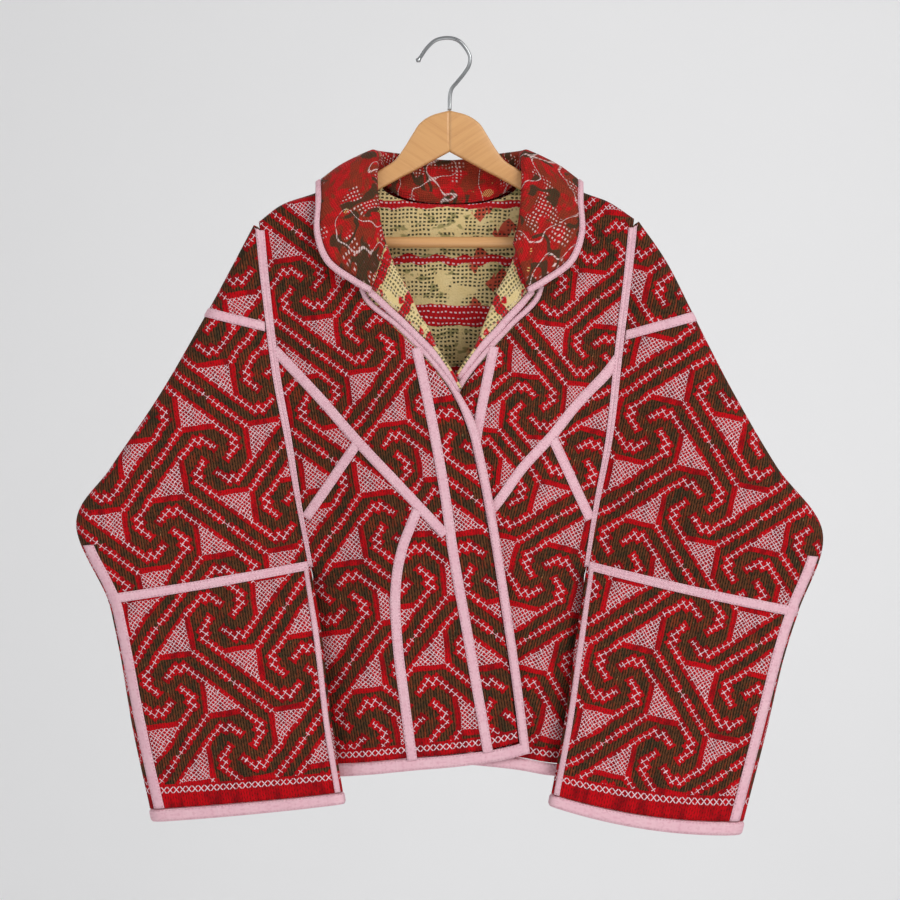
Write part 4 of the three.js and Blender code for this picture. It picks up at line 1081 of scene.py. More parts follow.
def swept(sections, along, across):
    """Points on a swept strip: along its sections, then across from foot to edge."""
    rails = np.stack([smooth_curve(sections[:, k], along) for k in range(sections.shape[1])], 1)
    return np.array([smooth_curve(rail, across) for rail in rails])


def measured(points, column):
    """A strip's own map in metres: the way along one of its columns, the way across each row."""
    steps = np.linalg.norm(np.diff(points[:, column], axis=0), axis=-1)
    along = np.concatenate([[0], np.cumsum(steps)])[:, None]
    across = np.cumsum(np.linalg.norm(np.diff(points, axis=1), axis=-1), axis=1)
    across = np.concatenate([np.zeros((len(points), 1)), across], axis=1)
    return np.stack([along + 0 * across, across], -1) * MM


def build_collar():
    sections = collar_sections()
    along = np.linspace(0, 1, 190)
    across = np.linspace(0, COLLAR_BOUND_FROM, 34)
    points = swept(sections, along, across)
    cloth_shell("cloth_collar", points, 1, measured(points, 24), None, ("leaf", "leaf"))
    edge = swept(sections, along, np.linspace(COLLAR_BOUND_FROM + 0.008, 1, 7))
    tape_strip("binding_collar", edge, 1, -BOUND_HALF, BOUND_HALF, 8)


# The lapels: the fronts' neck edges turned outwards beside the bound edge below them, by rows
# from the collar down, each with how far it stands off the front
LAPEL_BINDING = 7.2
LAPEL_COLUMNS = "outerX outerZ rollX rollZ lift"
LAPEL_ROWS = {
    "right": table(LAPEL_COLUMNS, [
        [-81, -258, -64.5, -207, 3.5], [-76, -262.5, -59, -222, 2.8], [-69, -269, -53, -236, 2],
        [-59.5, -278, -46.2, -247, 1], [-50, -286.5, -38.5, -262, 0.5],
        [-41, -295.5, -31, -278.5, 0], [-31, -305.5, -22, -291.5, 0], [-21, -316, -14, -309, 0],
        [-12, -327, -5.7, -322.5, 0], [-3, -339, 2.6, -335.2, -0.6], [7.5, -354, 11.5, -352, -2],
    ]),
    "left": table(LAPEL_COLUMNS, [
        [85, -256, 69.5, -207, 3.5], [80, -262, 65, -222, 2.8], [74, -269.5, 58, -238, 2],
        [66, -278, 50, -252, 1], [58.5, -286, 44, -267, 0.5], [50, -296, 37, -283.5, 0],
        [41, -305, 31.3, -298, 0], [32, -315, 26, -310, 0], [21, -329, 15.4, -324.8, -0.4],
        [10.5, -342.5, 6, -339.5, -2],
    ]),
}


# How deep each point across a lapel lies, and how much of its row's lift it takes
LAPEL_DEPTHS = table("depth lift", [
    [-2.2, 1], [-2.9, 1], [-3.2, 0.8], [-1.6, 0.5], [0.6, 0], [3.4, 0], [4.6, 0],
])


def lapel_sections(side):
    """Across each row: the bound edge, the leaf up to its roll, and the cloth turned under."""
    surface = FRONT[side]
    forward = np.array([0, 1, 0])
    sections = []
    for row in LAPEL_ROWS[side]:
        outer = surface(np.array([row["outerX"], row["outerZ"]], float))
        rolled = surface(np.array([row["rollX"], row["rollZ"]], float))
        across = np.linalg.norm((rolled - outer)[[0, 2]])
        bound = outer + (rolled - outer) * min(LAPEL_BINDING / across, 0.86)
        places = (outer, bound, (bound + rolled) / 2, rolled, rolled * 1.02 - outer * 0.02,
                  outer * 0.25 + rolled * 0.75, outer * 0.6 + rolled * 0.4)
        sections.append([
            place + (point["depth"] - row["lift"] * point["lift"]) * forward
            for place, point in zip(places, LAPEL_DEPTHS)
        ])
    return np.array(sections)


def build_lapel(side):
    sections = lapel_sections(side)
    along = np.linspace(0, 1, 46)
    bound_share = 1 / (sections.shape[1] - 1)
    points = swept(sections, along, np.linspace(bound_share * 1.04, 1, 18))
    cloth_shell("cloth_lapel_" + side, points, -INWARD[side], measured(points, 4), None,
                ("reverse", "reverse"), HALF * 0.7)
    band = swept(sections, along, np.linspace(0, bound_share, 7))
    tape_strip("binding_lapel_" + side, band, -INWARD[side], -HALF, HALF, 8)


# Finishes, by name: each is a function that builds its own nodes
def srgb(red, green, blue):
    """A colour seen on a screen, 0 to 255, as a shader takes it."""
    def linear(value):
        value = value / 255
        return value / 12.92 if value <= 0.04045 else ((value + 0.055) / 1.055) ** 2.4

    return (linear(red), linear(green), linear(blue), 1)


class Nodes:
    """Adds shader nodes to a new material and joins them."""

    def __init__(self, name):
        self.material = bpy.data.materials.new(name)
        self.material.use_nodes = True
        self.tree = self.material.node_tree
        self.shader = self.tree.nodes["Principled BSDF"]
        MATERIALS[name] = self.material

    def node(self, kind, **settings):
        node = self.tree.nodes.new(kind)
        for key, value in settings.items():
            setattr(node, key, value)
        return node

    def put(self, value, socket):
        if isinstance(value, bpy.types.NodeSocket):
            self.tree.links.new(value, socket)
        else:
            socket.default_value = value

    def math(self, operation, *values):
        node = self.node("ShaderNodeMath", operation=operation)
        for value, socket in zip(values, node.inputs):
            self.put(value, socket)
        return node.outputs[0]

    def add(self, a, b):
        return self.math("ADD", a, b)

    def sub(self, a, b):
        return self.math("SUBTRACT", a, b)

    def mul(self, a, b):
        return self.math("MULTIPLY", a, b)

    def lowest(self, *values):
        result = values[0]
        for value in values[1:]:
            result = self.math("MINIMUM", result, value)
        return result

    def highest(self, *values):
        result = values[0]
        for value in values[1:]:
            result = self.math("MAXIMUM", result, value)
        return result

    def wave(self, value, pitch, shift=0.0):
        """How far a value lies from the nearest multiple of a pitch."""
        return self.math("PINGPONG", self.add(value, shift), pitch / 2)

    def below(self, value, limit, soft=0.3):
        """1 where a value is below a limit, 0 above it, with a soft step."""
        node = self.node("ShaderNodeMapRange", interpolation_type="SMOOTHSTEP")
        for socket, number in zip(node.inputs[1:5], (limit - soft, limit + soft, 1, 0)):
            socket.default_value = number
        self.put(value, node.inputs[0])
        return node.outputs[0]

    def above(self, value, limit, soft=0.3):
        return self.sub(1.0, self.below(value, limit, soft))

    def mix(self, share, a, b):
        node = self.node("ShaderNodeMix", data_type="RGBA")
        self.put(share, node.inputs[0])
        self.put(a, node.inputs[6])
        self.put(b, node.inputs[7])
        return node.outputs[2]

    def drift(self, size, *noise, **settings):
        """A noise that swings by half a size to either side of zero."""
        return self.mul(self.sub(self.noise(*noise, **settings), 0.5), size)

    def weave(self, u, v):
        """The height of a plain weave."""
        return self.add(self.mul(self.wave(u, WEAVE), 0.3), self.mul(self.wave(v, WEAVE), 0.3))

    def spots(self, colour, paint, amount, limit, soft, *noise, **settings):
        """A colour with patches of another where a noise is above a limit."""
        share = self.above(self.noise(*noise, **settings), limit, soft)
        return self.mix(self.mul(share, amount), colour, paint)

    def blend(self, share, a, b):
        return self.add(a, self.mul(share, self.sub(b, a)))

    def map_place(self, layer):
        """A map's two numbers, in millimetres."""
        uv = self.node("ShaderNodeUVMap", uv_map=layer)
        scaled = self.node("ShaderNodeVectorMath", operation="SCALE")
        self.tree.links.new(uv.outputs[0], scaled.inputs[0])
        scaled.inputs["Scale"].default_value = 1 / MM
        parts = self.node("ShaderNodeSeparateXYZ")
        self.tree.links.new(scaled.outputs[0], parts.inputs[0])
        return scaled.outputs[0], parts.outputs[0], parts.outputs[1]

    def noise(self, place, scale, detail=2.0, stretch_by=None, seed=0.0):
        if stretch_by is not None:
            moved = self.node("ShaderNodeMapping")
            self.tree.links.new(place, moved.inputs["Vector"])
            moved.inputs["Scale"].default_value = stretch_by
            place = moved.outputs[0]
        node = self.node("ShaderNodeTexNoise", noise_dimensions="4D")
        self.tree.links.new(place, node.inputs["Vector"])
        node.inputs["W"].default_value = seed
        node.inputs["Scale"].default_value = scale
        node.inputs["Detail"].default_value = detail
        return node.outputs["Fac"]

    def bump(self, height, distance, strength=1.0):
        node = self.node("ShaderNodeBump")
        node.inputs["Distance"].default_value = distance
        node.inputs["Strength"].default_value = strength
        self.put(height, node.inputs["Height"])
        self.tree.links.new(node.outputs[0], self.shader.inputs["Normal"])

    def finish(self, colour, roughness, **fixed):
        self.put(colour, self.shader.inputs["Base Color"])
        self.put(roughness, self.shader.inputs["Roughness"])
        for name, value in fixed.items():
            self.shader.inputs[name.replace("_", " ")].default_value = value


RED = srgb(190, 8, 20)
DEEP_RED = srgb(134, 7, 16)
WHITE_THREAD = srgb(242, 218, 225)
BROWN = srgb(96, 58, 34)
OLIVE = srgb(58, 52, 34)
RUST = srgb(142, 52, 28)
DARK = srgb(30, 26, 18)
CREAM = srgb(214, 186, 124)
PALE_CREAM = srgb(232, 212, 160)
DARK_GREEN = srgb(44, 56, 34)
PINK = srgb(238, 180, 196)
PALE_PINK = srgb(248, 208, 216)
DEEP_PINK = srgb(216, 150, 168)
LEAF_RED = srgb(206, 26, 30)
LEAF_RUST = srgb(172, 34, 26)
LEAF_BROWN = srgb(124, 60, 34)
LEAF_GREEN = srgb(50, 58, 38)
LEAF_THREAD = srgb(238, 210, 206)
HATCH_RED = srgb(96, 16, 16)
YELLOW_THREAD = srgb(222, 196, 120)
MOSS = srgb(120, 118, 66)
DEEP_GREEN = srgb(34, 40, 24)
HONEY = srgb(222, 170, 112)
AMBER = srgb(208, 152, 94)
GRAIN = srgb(186, 126, 72)
PORES = srgb(152, 96, 52)
DULL_STEEL = srgb(150, 152, 154)
BRIGHT_STEEL = srgb(186, 188, 190)
PALE_WALL = srgb(241, 241, 242)
PALER_WALL = srgb(244, 244, 245)
ROOT2 = math.sqrt(2)
RIB = 2.7
WEAVE = 1.3


def hooked_repeat(n, u, v):
    """The cloth's hooked repeat. Four hooked arms turn round each whorl, and turn the other way
    round the whorls between. Returns its red ground and its white stitching."""
    half = PATTERN_CELL / 2
    u = n.math("WRAP", u, half, -half)
    v = n.math("WRAP", v, half, -half)
    size_u, size_v = n.math("ABSOLUTE", u), n.math("ABSOLUTE", v)
    beyond = n.math("GREATER_THAN", n.add(size_u, size_v), half)
    folded_u = n.blend(beyond, size_u, n.sub(half, size_v))
    folded_v = n.blend(beyond, size_v, n.sub(half, size_u))
    same = n.math("GREATER_THAN", n.mul(u, v), 0.0)
    u = n.blend(same, folded_v, folded_u)
    v = n.blend(same, folded_u, folded_v)
    a = n.mul(n.sub(u, v), 1 / ROOT2)
    b = n.mul(n.add(u, v), 1 / ROOT2)

    stem_at, bar_at, stem_end, hook_at, hook_end, step = 46.0, 29.0, 6.0, 9.05, 9.4, 5.8
    stem = n.highest(n.math("ABSOLUTE", n.sub(b, stem_at)), n.sub(a, stem_end))
    bar = n.math("ABSOLUTE", n.sub(a, bar_at))
    arm = n.highest(n.math("ABSOLUTE", n.sub(b, bar_at)), n.sub(a, hook_at - step))
    hook = n.highest(n.math("ABSOLUTE", n.sub(a, hook_at)), n.sub(hook_end, b),
                     n.sub(b, bar_at - step))
    step_level = n.highest(n.math("ABSOLUTE", n.sub(b, bar_at - step)), n.sub(hook_at - step, a),
                           n.sub(a, hook_at))
    step_upright = n.highest(n.math("ABSOLUTE", n.sub(a, hook_at - step)),
                             n.sub(bar_at - step, b), n.sub(b, bar_at))
    next_hook = n.highest(n.math("ABSOLUTE", n.sub(b, hook_at)), n.add(a, hook_end))
    level = n.lowest(stem, arm, step_level, next_hook)
    upright = n.lowest(bar, hook, step_upright)
    line = n.lowest(level, upright)

    leg_u, leg_v = 36.0, 29.0
    own = n.highest(n.sub(leg_u, u), n.sub(v, leg_v), n.sub(a, bar_at))
    next_one = n.highest(n.sub(leg_u, v), n.sub(b, bar_at))
    leaf = n.lowest(own, next_one)

    scallop_level = n.mul(n.wave(a, 5.8), 0.5)
    scallop_upright = n.mul(n.wave(b, 5.8), 0.5)
    band = n.lowest(n.add(level, scallop_level), n.add(upright, scallop_upright))
    red = n.highest(n.below(band, 5.2, 0.4), n.below(leaf, 4.8, 0.5))

    ticks_level = n.highest(n.sub(n.wave(a, step, step - hook_at), 0.28), n.sub(level, 2.4))
    ticks_upright = n.highest(n.sub(n.wave(b, step), 0.28), n.sub(upright, 2.4))
    centre = n.sub(line, 0.18)
    net = n.sub(n.lowest(n.wave(a, 3.2), n.wave(b, 3.2)), 0.22)
    net = n.highest(net, n.add(leaf, 1.0))
    white = n.below(n.lowest(ticks_level, ticks_upright, centre, net), 0.1, 0.25)
    return red, white


BORDER_HEIGHT = 22.5


def border_rows(n):
    """The stitched border above a hem: red with one row of small white crosses."""
    along, height = n.map_place("border")[1:]
    inside = n.below(height, BORDER_HEIGHT, 0.3)
    middle = n.math("ABSOLUTE", n.sub(height, 17.0))
    crossed = n.math("ABSOLUTE", n.sub(n.wave(along, 6.4), n.mul(middle, 0.9)))
    crosses = n.highest(n.sub(crossed, 0.5), n.sub(middle, 2.9))
    white = n.below(crosses, 0.1, 0.3)
    return inside, n.mul(white, inside)


def stitched_finish():
    """The outside: a red hooked repeat with white stitches on couched olive-brown ribs, with painted
    shade darkening the troughs between the ribs and the gaps in the couching.
    """
    n = Nodes("stitched")
    place, u, v = n.map_place("cut")
    drift_u = n.drift(5.0, place, 0.045, 2.0, seed=1.0)
    drift_v = n.drift(5.0, place, 0.045, 2.0, seed=4.0)
    shake = n.drift(1.3, place, 0.45, 1.0, seed=7.0)
    moved_u = n.add(n.add(u, drift_u), shake)
    moved_v = n.add(n.add(v, drift_v), shake)
    red, white = hooked_repeat(n, moved_u, moved_v)
    inside, border_white = border_rows(n)
    red = n.highest(red, inside)
    white = n.highest(n.mul(white, n.sub(1.0, inside)), border_white)

    rib = n.math("DIVIDE", n.wave(n.add(u, n.mul(shake, 0.5)), RIB), RIB / 2)
    run = n.add(v, n.mul(n.noise(place, 0.37, 0.0, (1, 0.05, 1), 2.0), 14.0))
    couched = n.wave(run, 5.2)
    # The gaps in the couching between the ribs: sunk in the bump, and darkened below as painted shade.
    hole = n.mul(n.below(rib, 0.42, 0.16), n.below(couched, 0.75, 0.35))
    ground = n.spots(BROWN, OLIVE, 0.8, 0.56, 0.08, place, 0.055, 3.0, seed=11.0)
    ground = n.spots(ground, RUST, 0.7, 0.57, 0.08, place, 0.3, 2.0, (1, 0.22, 1), 13.0)
    ground = n.spots(ground, CREAM, 0.45, 0.72, 0.05, place, 0.5, 2.0, (1, 0.5, 1), 17.0)
    ground = n.spots(ground, DARK, 0.45, 0.54, 0.1, place, 0.42, 2.0, (1, 0.4, 1), 37.0)
    # Painted shade: the ground is darkened towards DARK in the troughs between the ribs.
    ground = n.mix(n.mul(n.below(rib, 0.34, 0.25), 0.8), ground, DARK)
    # Painted shade: the gaps in the couching are darkened to DARK on the ground.
    ground = n.mix(hole, ground, DARK)
    cloth_red = n.spots(RED, DEEP_RED, 1.0, 0.54, 0.14, place, 0.12, 3.0, (1, 0.4, 1), 19.0)
    # Painted shade: the red is darkened towards DEEP_RED in the troughs between the ribs.
    cloth_red = n.mix(n.mul(n.below(rib, 0.25, 0.25), 0.35), cloth_red, DEEP_RED)
    # Painted shade: the gaps in the couching are darkened towards DARK on the red.
    cloth_red = n.mix(n.mul(hole, 0.55), cloth_red, DARK)
    colour = n.mix(red, ground, cloth_red)
    worn = n.above(n.noise(place, 0.6, 1.0, seed=23.0), 0.36, 0.12)
    colour = n.mix(n.mul(white, worn), colour, WHITE_THREAD)

    ribs = n.math("POWER", rib, 0.6)
    height = n.mul(n.sub(ribs, n.mul(hole, 1.2)), n.blend(red, 0.32, 0.16))
    height = n.add(height, n.mul(red, 0.5))
    height = n.add(height, n.mul(white, 0.28))
    height = n.add(height, n.mul(n.noise(place, 0.9, 2.0, seed=29.0), 0.35))
    n.bump(height, 1.5 * MM)
    roughness = n.blend(white, 0.88, 0.72)
    n.finish(colour, roughness, Sheen_Weight=0.02, Sheen_Roughness=0.5,
             Specular_IOR_Level=0.1)


def dotted_rows(n, u, v, pitch, across, size):
    """Short stitches in rows, each row set half a step from the last."""
    row = n.math("FLOOR", n.math("DIVIDE", v, pitch))
    shift = n.mul(n.math("MODULO", n.math("ABSOLUTE", row), 2.0), across / 2)
    near_u = n.wave(n.add(u, shift), across)
    near_v = n.wave(v, pitch, pitch / 2)
    return n.below(n.highest(n.sub(near_u, size * 1.5), n.sub(near_v, size)), 0.0, 0.3)


def reverse_finish():
    """The cloth's reverse: rows of dark stitches and uneven red patches on a cream ground."""
    n = Nodes("reverse")
    place, u, v = n.map_place("cut")
    drift = n.drift(6.0, place, 0.08, 2.0, seed=3.0)
    u, v = n.add(u, n.mul(drift, 0.5)), n.add(v, drift)
    colour = n.mix(n.noise(place, 0.11, 3.0, seed=5.0), CREAM, PALE_CREAM)
    patch = n.noise(place, 0.065, 2.0, (1, 1.6, 1), 8.0)
    colour = n.mix(n.above(patch, 0.6, 0.03), colour, RED)
    band = n.add(n.wave(u, 43.0, -9.0), n.mul(n.sub(patch, 0.5), 14.0))
    colour = n.mix(n.below(band, 5.5, 0.5), colour, RED)
    holes = n.mul(n.below(n.highest(n.mul(n.wave(u, 4.0), 0.8), n.wave(v, 3.6)), 0.86, 0.3),
                  n.above(n.noise(place, 0.07, 1.0, seed=41.0), 0.42, 0.03))
    colour = n.mix(n.mul(holes, 0.85), colour, DARK_GREEN)
    pale = dotted_rows(n, n.add(u, 1.4), n.add(v, 2.6), 10.4, 4.4, 0.75)
    colour = n.mix(n.mul(pale, 0.2), colour, WHITE_THREAD)
    height = n.sub(n.add(n.weave(u, v), n.noise(place, 0.7, 2.0, seed=6.0)), holes)
    n.bump(n.add(height, n.mul(pale, 0.6)), 0.7 * MM)
    n.finish(colour, 0.92, Sheen_Weight=0.2, Specular_IOR_Level=0.2)


def leaf_finish():
    """The collar: red cross-hatched cloth with brown and dark-green curls and fine dot nets."""
    n = Nodes("leaf")
    place, u, v = n.map_place("cut")
    drift = n.drift(9.0, place, 0.06, 2.0, seed=3.0)
    u, v = n.add(u, drift), n.sub(v, drift)
    rib = n.math("DIVIDE", n.wave(v, 2.4), 1.2)
    along = n.math("DIVIDE", n.wave(u, 2.2), 1.1)
    colour = n.spots(LEAF_RED, LEAF_RUST, 1.0, 0.5, 0.08, place, 0.13, 3.0, seed=5.0)
    colour = n.spots(colour, LEAF_BROWN, 0.7, 0.52, 0.03, place, 0.055, 2.0, (1, 1.3, 1), 8.0)
    curl = n.math("ABSOLUTE", n.sub(n.noise(place, 0.045, 1.0, (1.2, 0.9, 1), 21.0), 0.5))
    spot = n.above(n.noise(place, 0.04, 1.0, seed=33.0), 0.5, 0.02)
    green = n.mul(n.below(curl, 0.05, 0.01), spot)
    colour = n.mix(n.mul(green, 0.9), colour, LEAF_GREEN)
    hatch = n.highest(n.below(rib, 0.3, 0.3), n.mul(n.below(along, 0.3, 0.3), 0.7))
    colour = n.mix(n.mul(hatch, 0.45), colour, HATCH_RED)
    netted = n.above(n.noise(place, 0.04, 1.0, seed=43.0), 0.54, 0.02)
    dots = n.mul(n.below(n.highest(n.wave(u, 3.9), n.wave(v, 3.6)), 0.8, 0.25), netted)
    thread = n.math("ABSOLUTE", n.sub(n.noise(place, 0.026, 1.0, seed=51.0), 0.47))
    stitch = n.above(n.wave(n.add(u, v), 3.6), 0.4, 0.2)
    threads = n.mul(n.below(thread, 0.006, 0.003), stitch)
    white = n.highest(n.mul(dots, n.sub(1.0, green)), threads)
    colour = n.mix(n.mul(white, 0.85), colour, LEAF_THREAD)
    star = n.above(n.noise(place, 0.07, 1.0, seed=61.0), 0.69, 0.01)
    yellow = n.mul(star, n.below(n.wave(n.add(u, n.mul(v, 0.6)), 2.0), 0.4, 0.2))
    colour = n.mix(n.mul(yellow, 0.85), colour, YELLOW_THREAD)
    height = n.add(n.mul(n.add(rib, along), 0.4), n.mul(white, 0.5))
    height = n.add(height, n.noise(place, 0.7, 2.0, seed=6.0))
    n.bump(height, 1.1 * MM)
    n.finish(colour, 0.9, Sheen_Weight=0.04, Specular_IOR_Level=0.15)


# The lining's red bands: the middle of each on the cut, its half height and its swing
LINING_BANDS = ((-260.0, 3.6, 0.0), (-203.0, 4.0, 3.0), (-146.0, 10.5, 0.0), (-91.0, 3.0, 1.5),
                (40.0, 9.0, 0.0), (150.0, 9.0, 0.0))


def lining_finish():
    """The inside of the back, with its red bands across and dark stitched rows."""
    n = Nodes("lining")
    place, u, v = n.map_place("cut")
    drift = n.drift(7.0, place, 0.06, 2.0, seed=3.0)
    u, v = n.add(u, drift), n.add(v, drift)
    colour = n.mix(n.noise(place, 0.1, 3.0, seed=5.0), CREAM, PALE_CREAM)
    colour = n.spots(colour, MOSS, 0.7, 0.6, 0.03, place, 0.07, 2.0, (1, 1.8, 1), 9.0)
    spikes = n.mul(n.wave(n.add(u, n.mul(v, 0.5)), 7.0), 1.7)
    leaf = n.highest(n.add(n.sub(n.wave(n.add(u, v), 44.0), 12.0), spikes),
                     n.sub(n.wave(n.sub(u, v), 58.0), 17.0))
    motifs = n.mul(n.below(leaf, 0.0, 0.6), n.above(u, 20.0, 4.0))
    colour = n.mix(n.mul(motifs, 0.85), colour, RED)
    holes = n.mul(n.below(n.highest(n.mul(n.wave(u, 4.3), 0.8), n.wave(v, 4.1)), 0.95, 0.25),
                  n.above(n.noise(place, 0.055, 1.0, seed=41.0), 0.44, 0.03))
    colour = n.mix(n.mul(holes, 0.95), colour, DEEP_GREEN)
    bands = []
    for middle, half_height, swing in LINING_BANDS:
        wave = n.math("SINE", n.add(n.mul(u, 0.21), middle))
        wavy = n.add(n.sub(v, middle), n.mul(wave, swing * 0.6))
        uneven = n.drift(5.0, place, 0.09, 2.0, seed=71.0)
        bands.append(n.sub(n.sub(n.math("ABSOLUTE", wavy), half_height), uneven))
    band = n.below(n.lowest(*bands), 0.0, 0.4)
    colour = n.mix(band, colour, RED)
    pale = n.mul(dotted_rows(n, n.add(u, 1.0), n.add(v, 1.0), 5.6, 4.4, 0.7), band)
    colour = n.mix(n.mul(pale, 0.9), colour, WHITE_THREAD)
    height = n.sub(n.add(n.weave(u, v), n.noise(place, 0.7, 2.0, seed=6.0)), holes)
    n.bump(n.add(height, n.mul(band, 0.5)), 0.8 * MM)
    n.finish(colour, 0.93, Sheen_Weight=0.15, Specular_IOR_Level=0.2)


def tape_finish():
    """Lilac-pink cotton tape: a fine weave, a stitched line near each edge, soft puckers."""
    n = Nodes("tape")
    place, edge, along = n.map_place("cut")
    colour = n.mix(n.noise(place, 0.16, 3.0, (1, 0.3, 1), 2.0), PINK, PALE_PINK)
    colour = n.spots(colour, DEEP_PINK, 0.4, 0.58, 0.1, place, 0.4, 2.0, (1, 0.5, 1), 5.0)
    gap = n.highest(n.sub(n.math("ABSOLUTE", n.sub(edge, 1.3)), 0.45),
                    n.sub(n.wave(along, 3.4), 0.55))
    pricks = n.below(gap, 0.0, 0.2)
    colour = n.mix(n.mul(pricks, 0.35), colour, DEEP_PINK)
    weave = n.mul(n.add(n.wave(edge, 0.7), n.wave(along, 0.7)), 0.5)
    puckers = n.noise(place, 0.28, 2.0, (0.5, 1.3, 1), 12.0)
    height = n.sub(n.add(weave, n.mul(puckers, 1.3)), n.mul(pricks, 0.7))
    n.bump(height, 0.9 * MM)
    n.finish(colour, 0.82, Sheen_Weight=0.12, Sheen_Roughness=0.4, Specular_IOR_Level=0.3)


def wood_finish(name, tilt):
    """Honey-coloured wood under a satin varnish, its grain along the piece."""
    n = Nodes(name)
    place = n.node("ShaderNodeTexCoord").outputs["Object"]
    turned_place = n.node("ShaderNodeMapping")
    n.tree.links.new(place, turned_place.inputs["Vector"])
    turned_place.inputs["Rotation"].default_value = (0, math.radians(tilt), 0)
    grain_place = turned_place.outputs[0]
    broad = n.noise(grain_place, 1.0, 3.0, (4, 40, 40), 1.0)
    fine = n.noise(grain_place, 1.0, 4.0, (16, 420, 420), 2.0)
    pores = n.noise(grain_place, 1.0, 2.0, (120, 1500, 1500), 3.0)
    colour = n.mix(broad, HONEY, AMBER)
    colour = n.mix(n.mul(n.above(fine, 0.54, 0.14), 0.28), colour, GRAIN)
    colour = n.mix(n.mul(n.above(pores, 0.68, 0.05), 0.3), colour, PORES)
    n.bump(n.add(fine, n.mul(pores, 0.5)), 0.25 * MM, 0.5)
    n.finish(colour, n.blend(fine, 0.38, 0.5), Coat_Weight=0.35, Coat_Roughness=0.25)


def steel_finish():
    """Bright drawn wire with faint marks along it."""
    n = Nodes("wire")
    place = n.node("ShaderNodeTexCoord").outputs["Object"]
    marks = n.noise(place, 1.0, 3.0, (900, 900, 120), 1.0)
    dull = n.noise(place, 60.0, 2.0, seed=2.0)
    colour = n.mix(dull, DULL_STEEL, BRIGHT_STEEL)
    n.bump(marks, 0.1 * MM, 0.4)
    n.finish(colour, n.blend(dull, 0.22, 0.36), Metallic=1.0)


def backdrop_finish():
    n = Nodes("backdrop")
    place = n.node("ShaderNodeTexCoord").outputs["Object"]
    soft = n.noise(place, 3.0, 2.0, seed=1.0)
    n.finish(n.mix(soft, PALE_WALL, PALER_WALL), 0.95)


stitched_finish()
reverse_finish()
leaf_finish()
lining_finish()
tape_finish()
wood_finish("wood_right", -33)
wood_finish("wood_left", 33)
wood_finish("wood_bar", 0)
steel_finish()
backdrop_finish()


# The wooden hanger and its hook
ARM_ROWS = table("topX topZ bottomX bottomZ", [
    [0, -71, 0, -112.5], [-18, -76, -14, -120], [-30, -84, -27, -127], [-38, -96, -38, -133],
    [-46, -109, -48, -138], [-55, -121, -57, -143], [-66, -128.5, -67, -148.3],
    [-78, -135.5, -77, -153.5], [-112, -151.5, -108, -170], [-149, -169.5, -149, -193],
    [-150, -170, -150, -211], [-170, -180, -168, -215], [-184, -190, -178, -214],
    [-189, -200, -186, -208],
])
HANGER_THICKNESS = 12.0
EDGE_ROUND = 3.4
ARM_STEPS = 78
TIP_STEPS = 6
TIP_THINNING = 2.0
CORNER_STEPS = 4
BAR_Z = -203.5
BAR_REACH = 148.7
BAR_DIAMETER = 11.0
BAR_END_RUN = 1.5
BAR_END_LEAST = 0.4
WIRE_DIAMETER = 4.0
BEAD_AT = 2.2
BEAD_HEIGHT = 0.9
BEAD_SPREAD = 1.7
TIP_ROUND = 1.8
HOOK_ROWS = table("x z", [
    [-33, -22.3], [-28.5, -16], [-22.5, -7.5], [-13.8, -0.1], [-1, 2.2], [9.1, -0.7], [16.5, -8.5],
    [20.5, -16.9], [19.5, -25.5], [14.9, -33.2], [7.2, -42.8], [2.5, -48.5], [0.5, -55.2],
    [0, -70.6],
])


def lofted(name, rings, material):
    """A closed body through equal rings of points, with fans of quads at its two ends."""
    rings = np.asarray(rings, float)
    rows, count = rings.shape[:2]
    faces = np.concatenate([ring_quads(rows, count), end_quads(rows, count, count // 2)])
    points = rings.reshape(-1, 3)
    first, second, third = points[faces[:, 0]], points[faces[:, 1]], points[faces[:, 2]]
    volume = np.einsum("ij,ij->i", first, np.cross(second, third)).sum()
    if volume < 0:
        faces = faces[:, ::-1]
    return make_object(name, points, faces, (material,), {})


def build_arm(side):
    columns = np.array([[row[name] for name in ("topX", "topZ", "bottomX", "bottomZ")]
                        for row in ARM_ROWS], float)
    rows = smooth_curve(columns, np.linspace(0, 1, ARM_STEPS + 1))
    half = HANGER_THICKNESS / 2
    rings = []
    for k, (top_x, top_z, bottom_x, bottom_z) in enumerate(rows):
        top = np.array([min(top_x, 0), top_z])
        bottom = np.array([min(bottom_x, 0), bottom_z])
        down = (bottom - top) / np.linalg.norm(bottom - top)
        full = half - TIP_THINNING * max(k - ARM_STEPS + TIP_STEPS, 0) / TIP_STEPS
        ring = []
        for edge, sign in ((top, 1), (bottom, -1)):
            centre = edge + down * sign * EDGE_ROUND
            for corner, depth in ((0, -1), (1, 1)):
                for step in range(CORNER_STEPS + 1):
                    turn = math.radians(90 * step / CORNER_STEPS + 90 * corner)
                    lift = math.sin(turn) * EDGE_ROUND
                    y = -math.cos(turn) * EDGE_ROUND * sign + depth * sign * (full - EDGE_ROUND)
                    place = centre - down * sign * lift
                    ring.append([place[0], y, place[1]])
        rings.append(ring)
    rings = np.array(rings)
    rings[..., 0] *= 1 if side == "right" else -1
    return lofted("wooden_arm_" + side, rings, "wood_" + side)


def tube(name, centres, radii, sides, material):
    """A round bar along points in the front view, with its radius at each."""
    centres = np.asarray(centres, float)
    along = np.gradient(centres, axis=0)
    along = along / np.linalg.norm(along, axis=1, keepdims=True)
    depth = np.array([0.0, 1.0, 0.0])
    across = np.cross(along, depth)
    turns = np.linspace(0, 2 * math.pi, sides, endpoint=False)
    rings = (centres[:, None]
             + across[:, None] * (np.cos(turns)[None, :, None] * radii[:, None, None])
             + depth * (np.sin(turns)[None, :, None] * radii[:, None, None]))
    return lofted(name, rings, material)


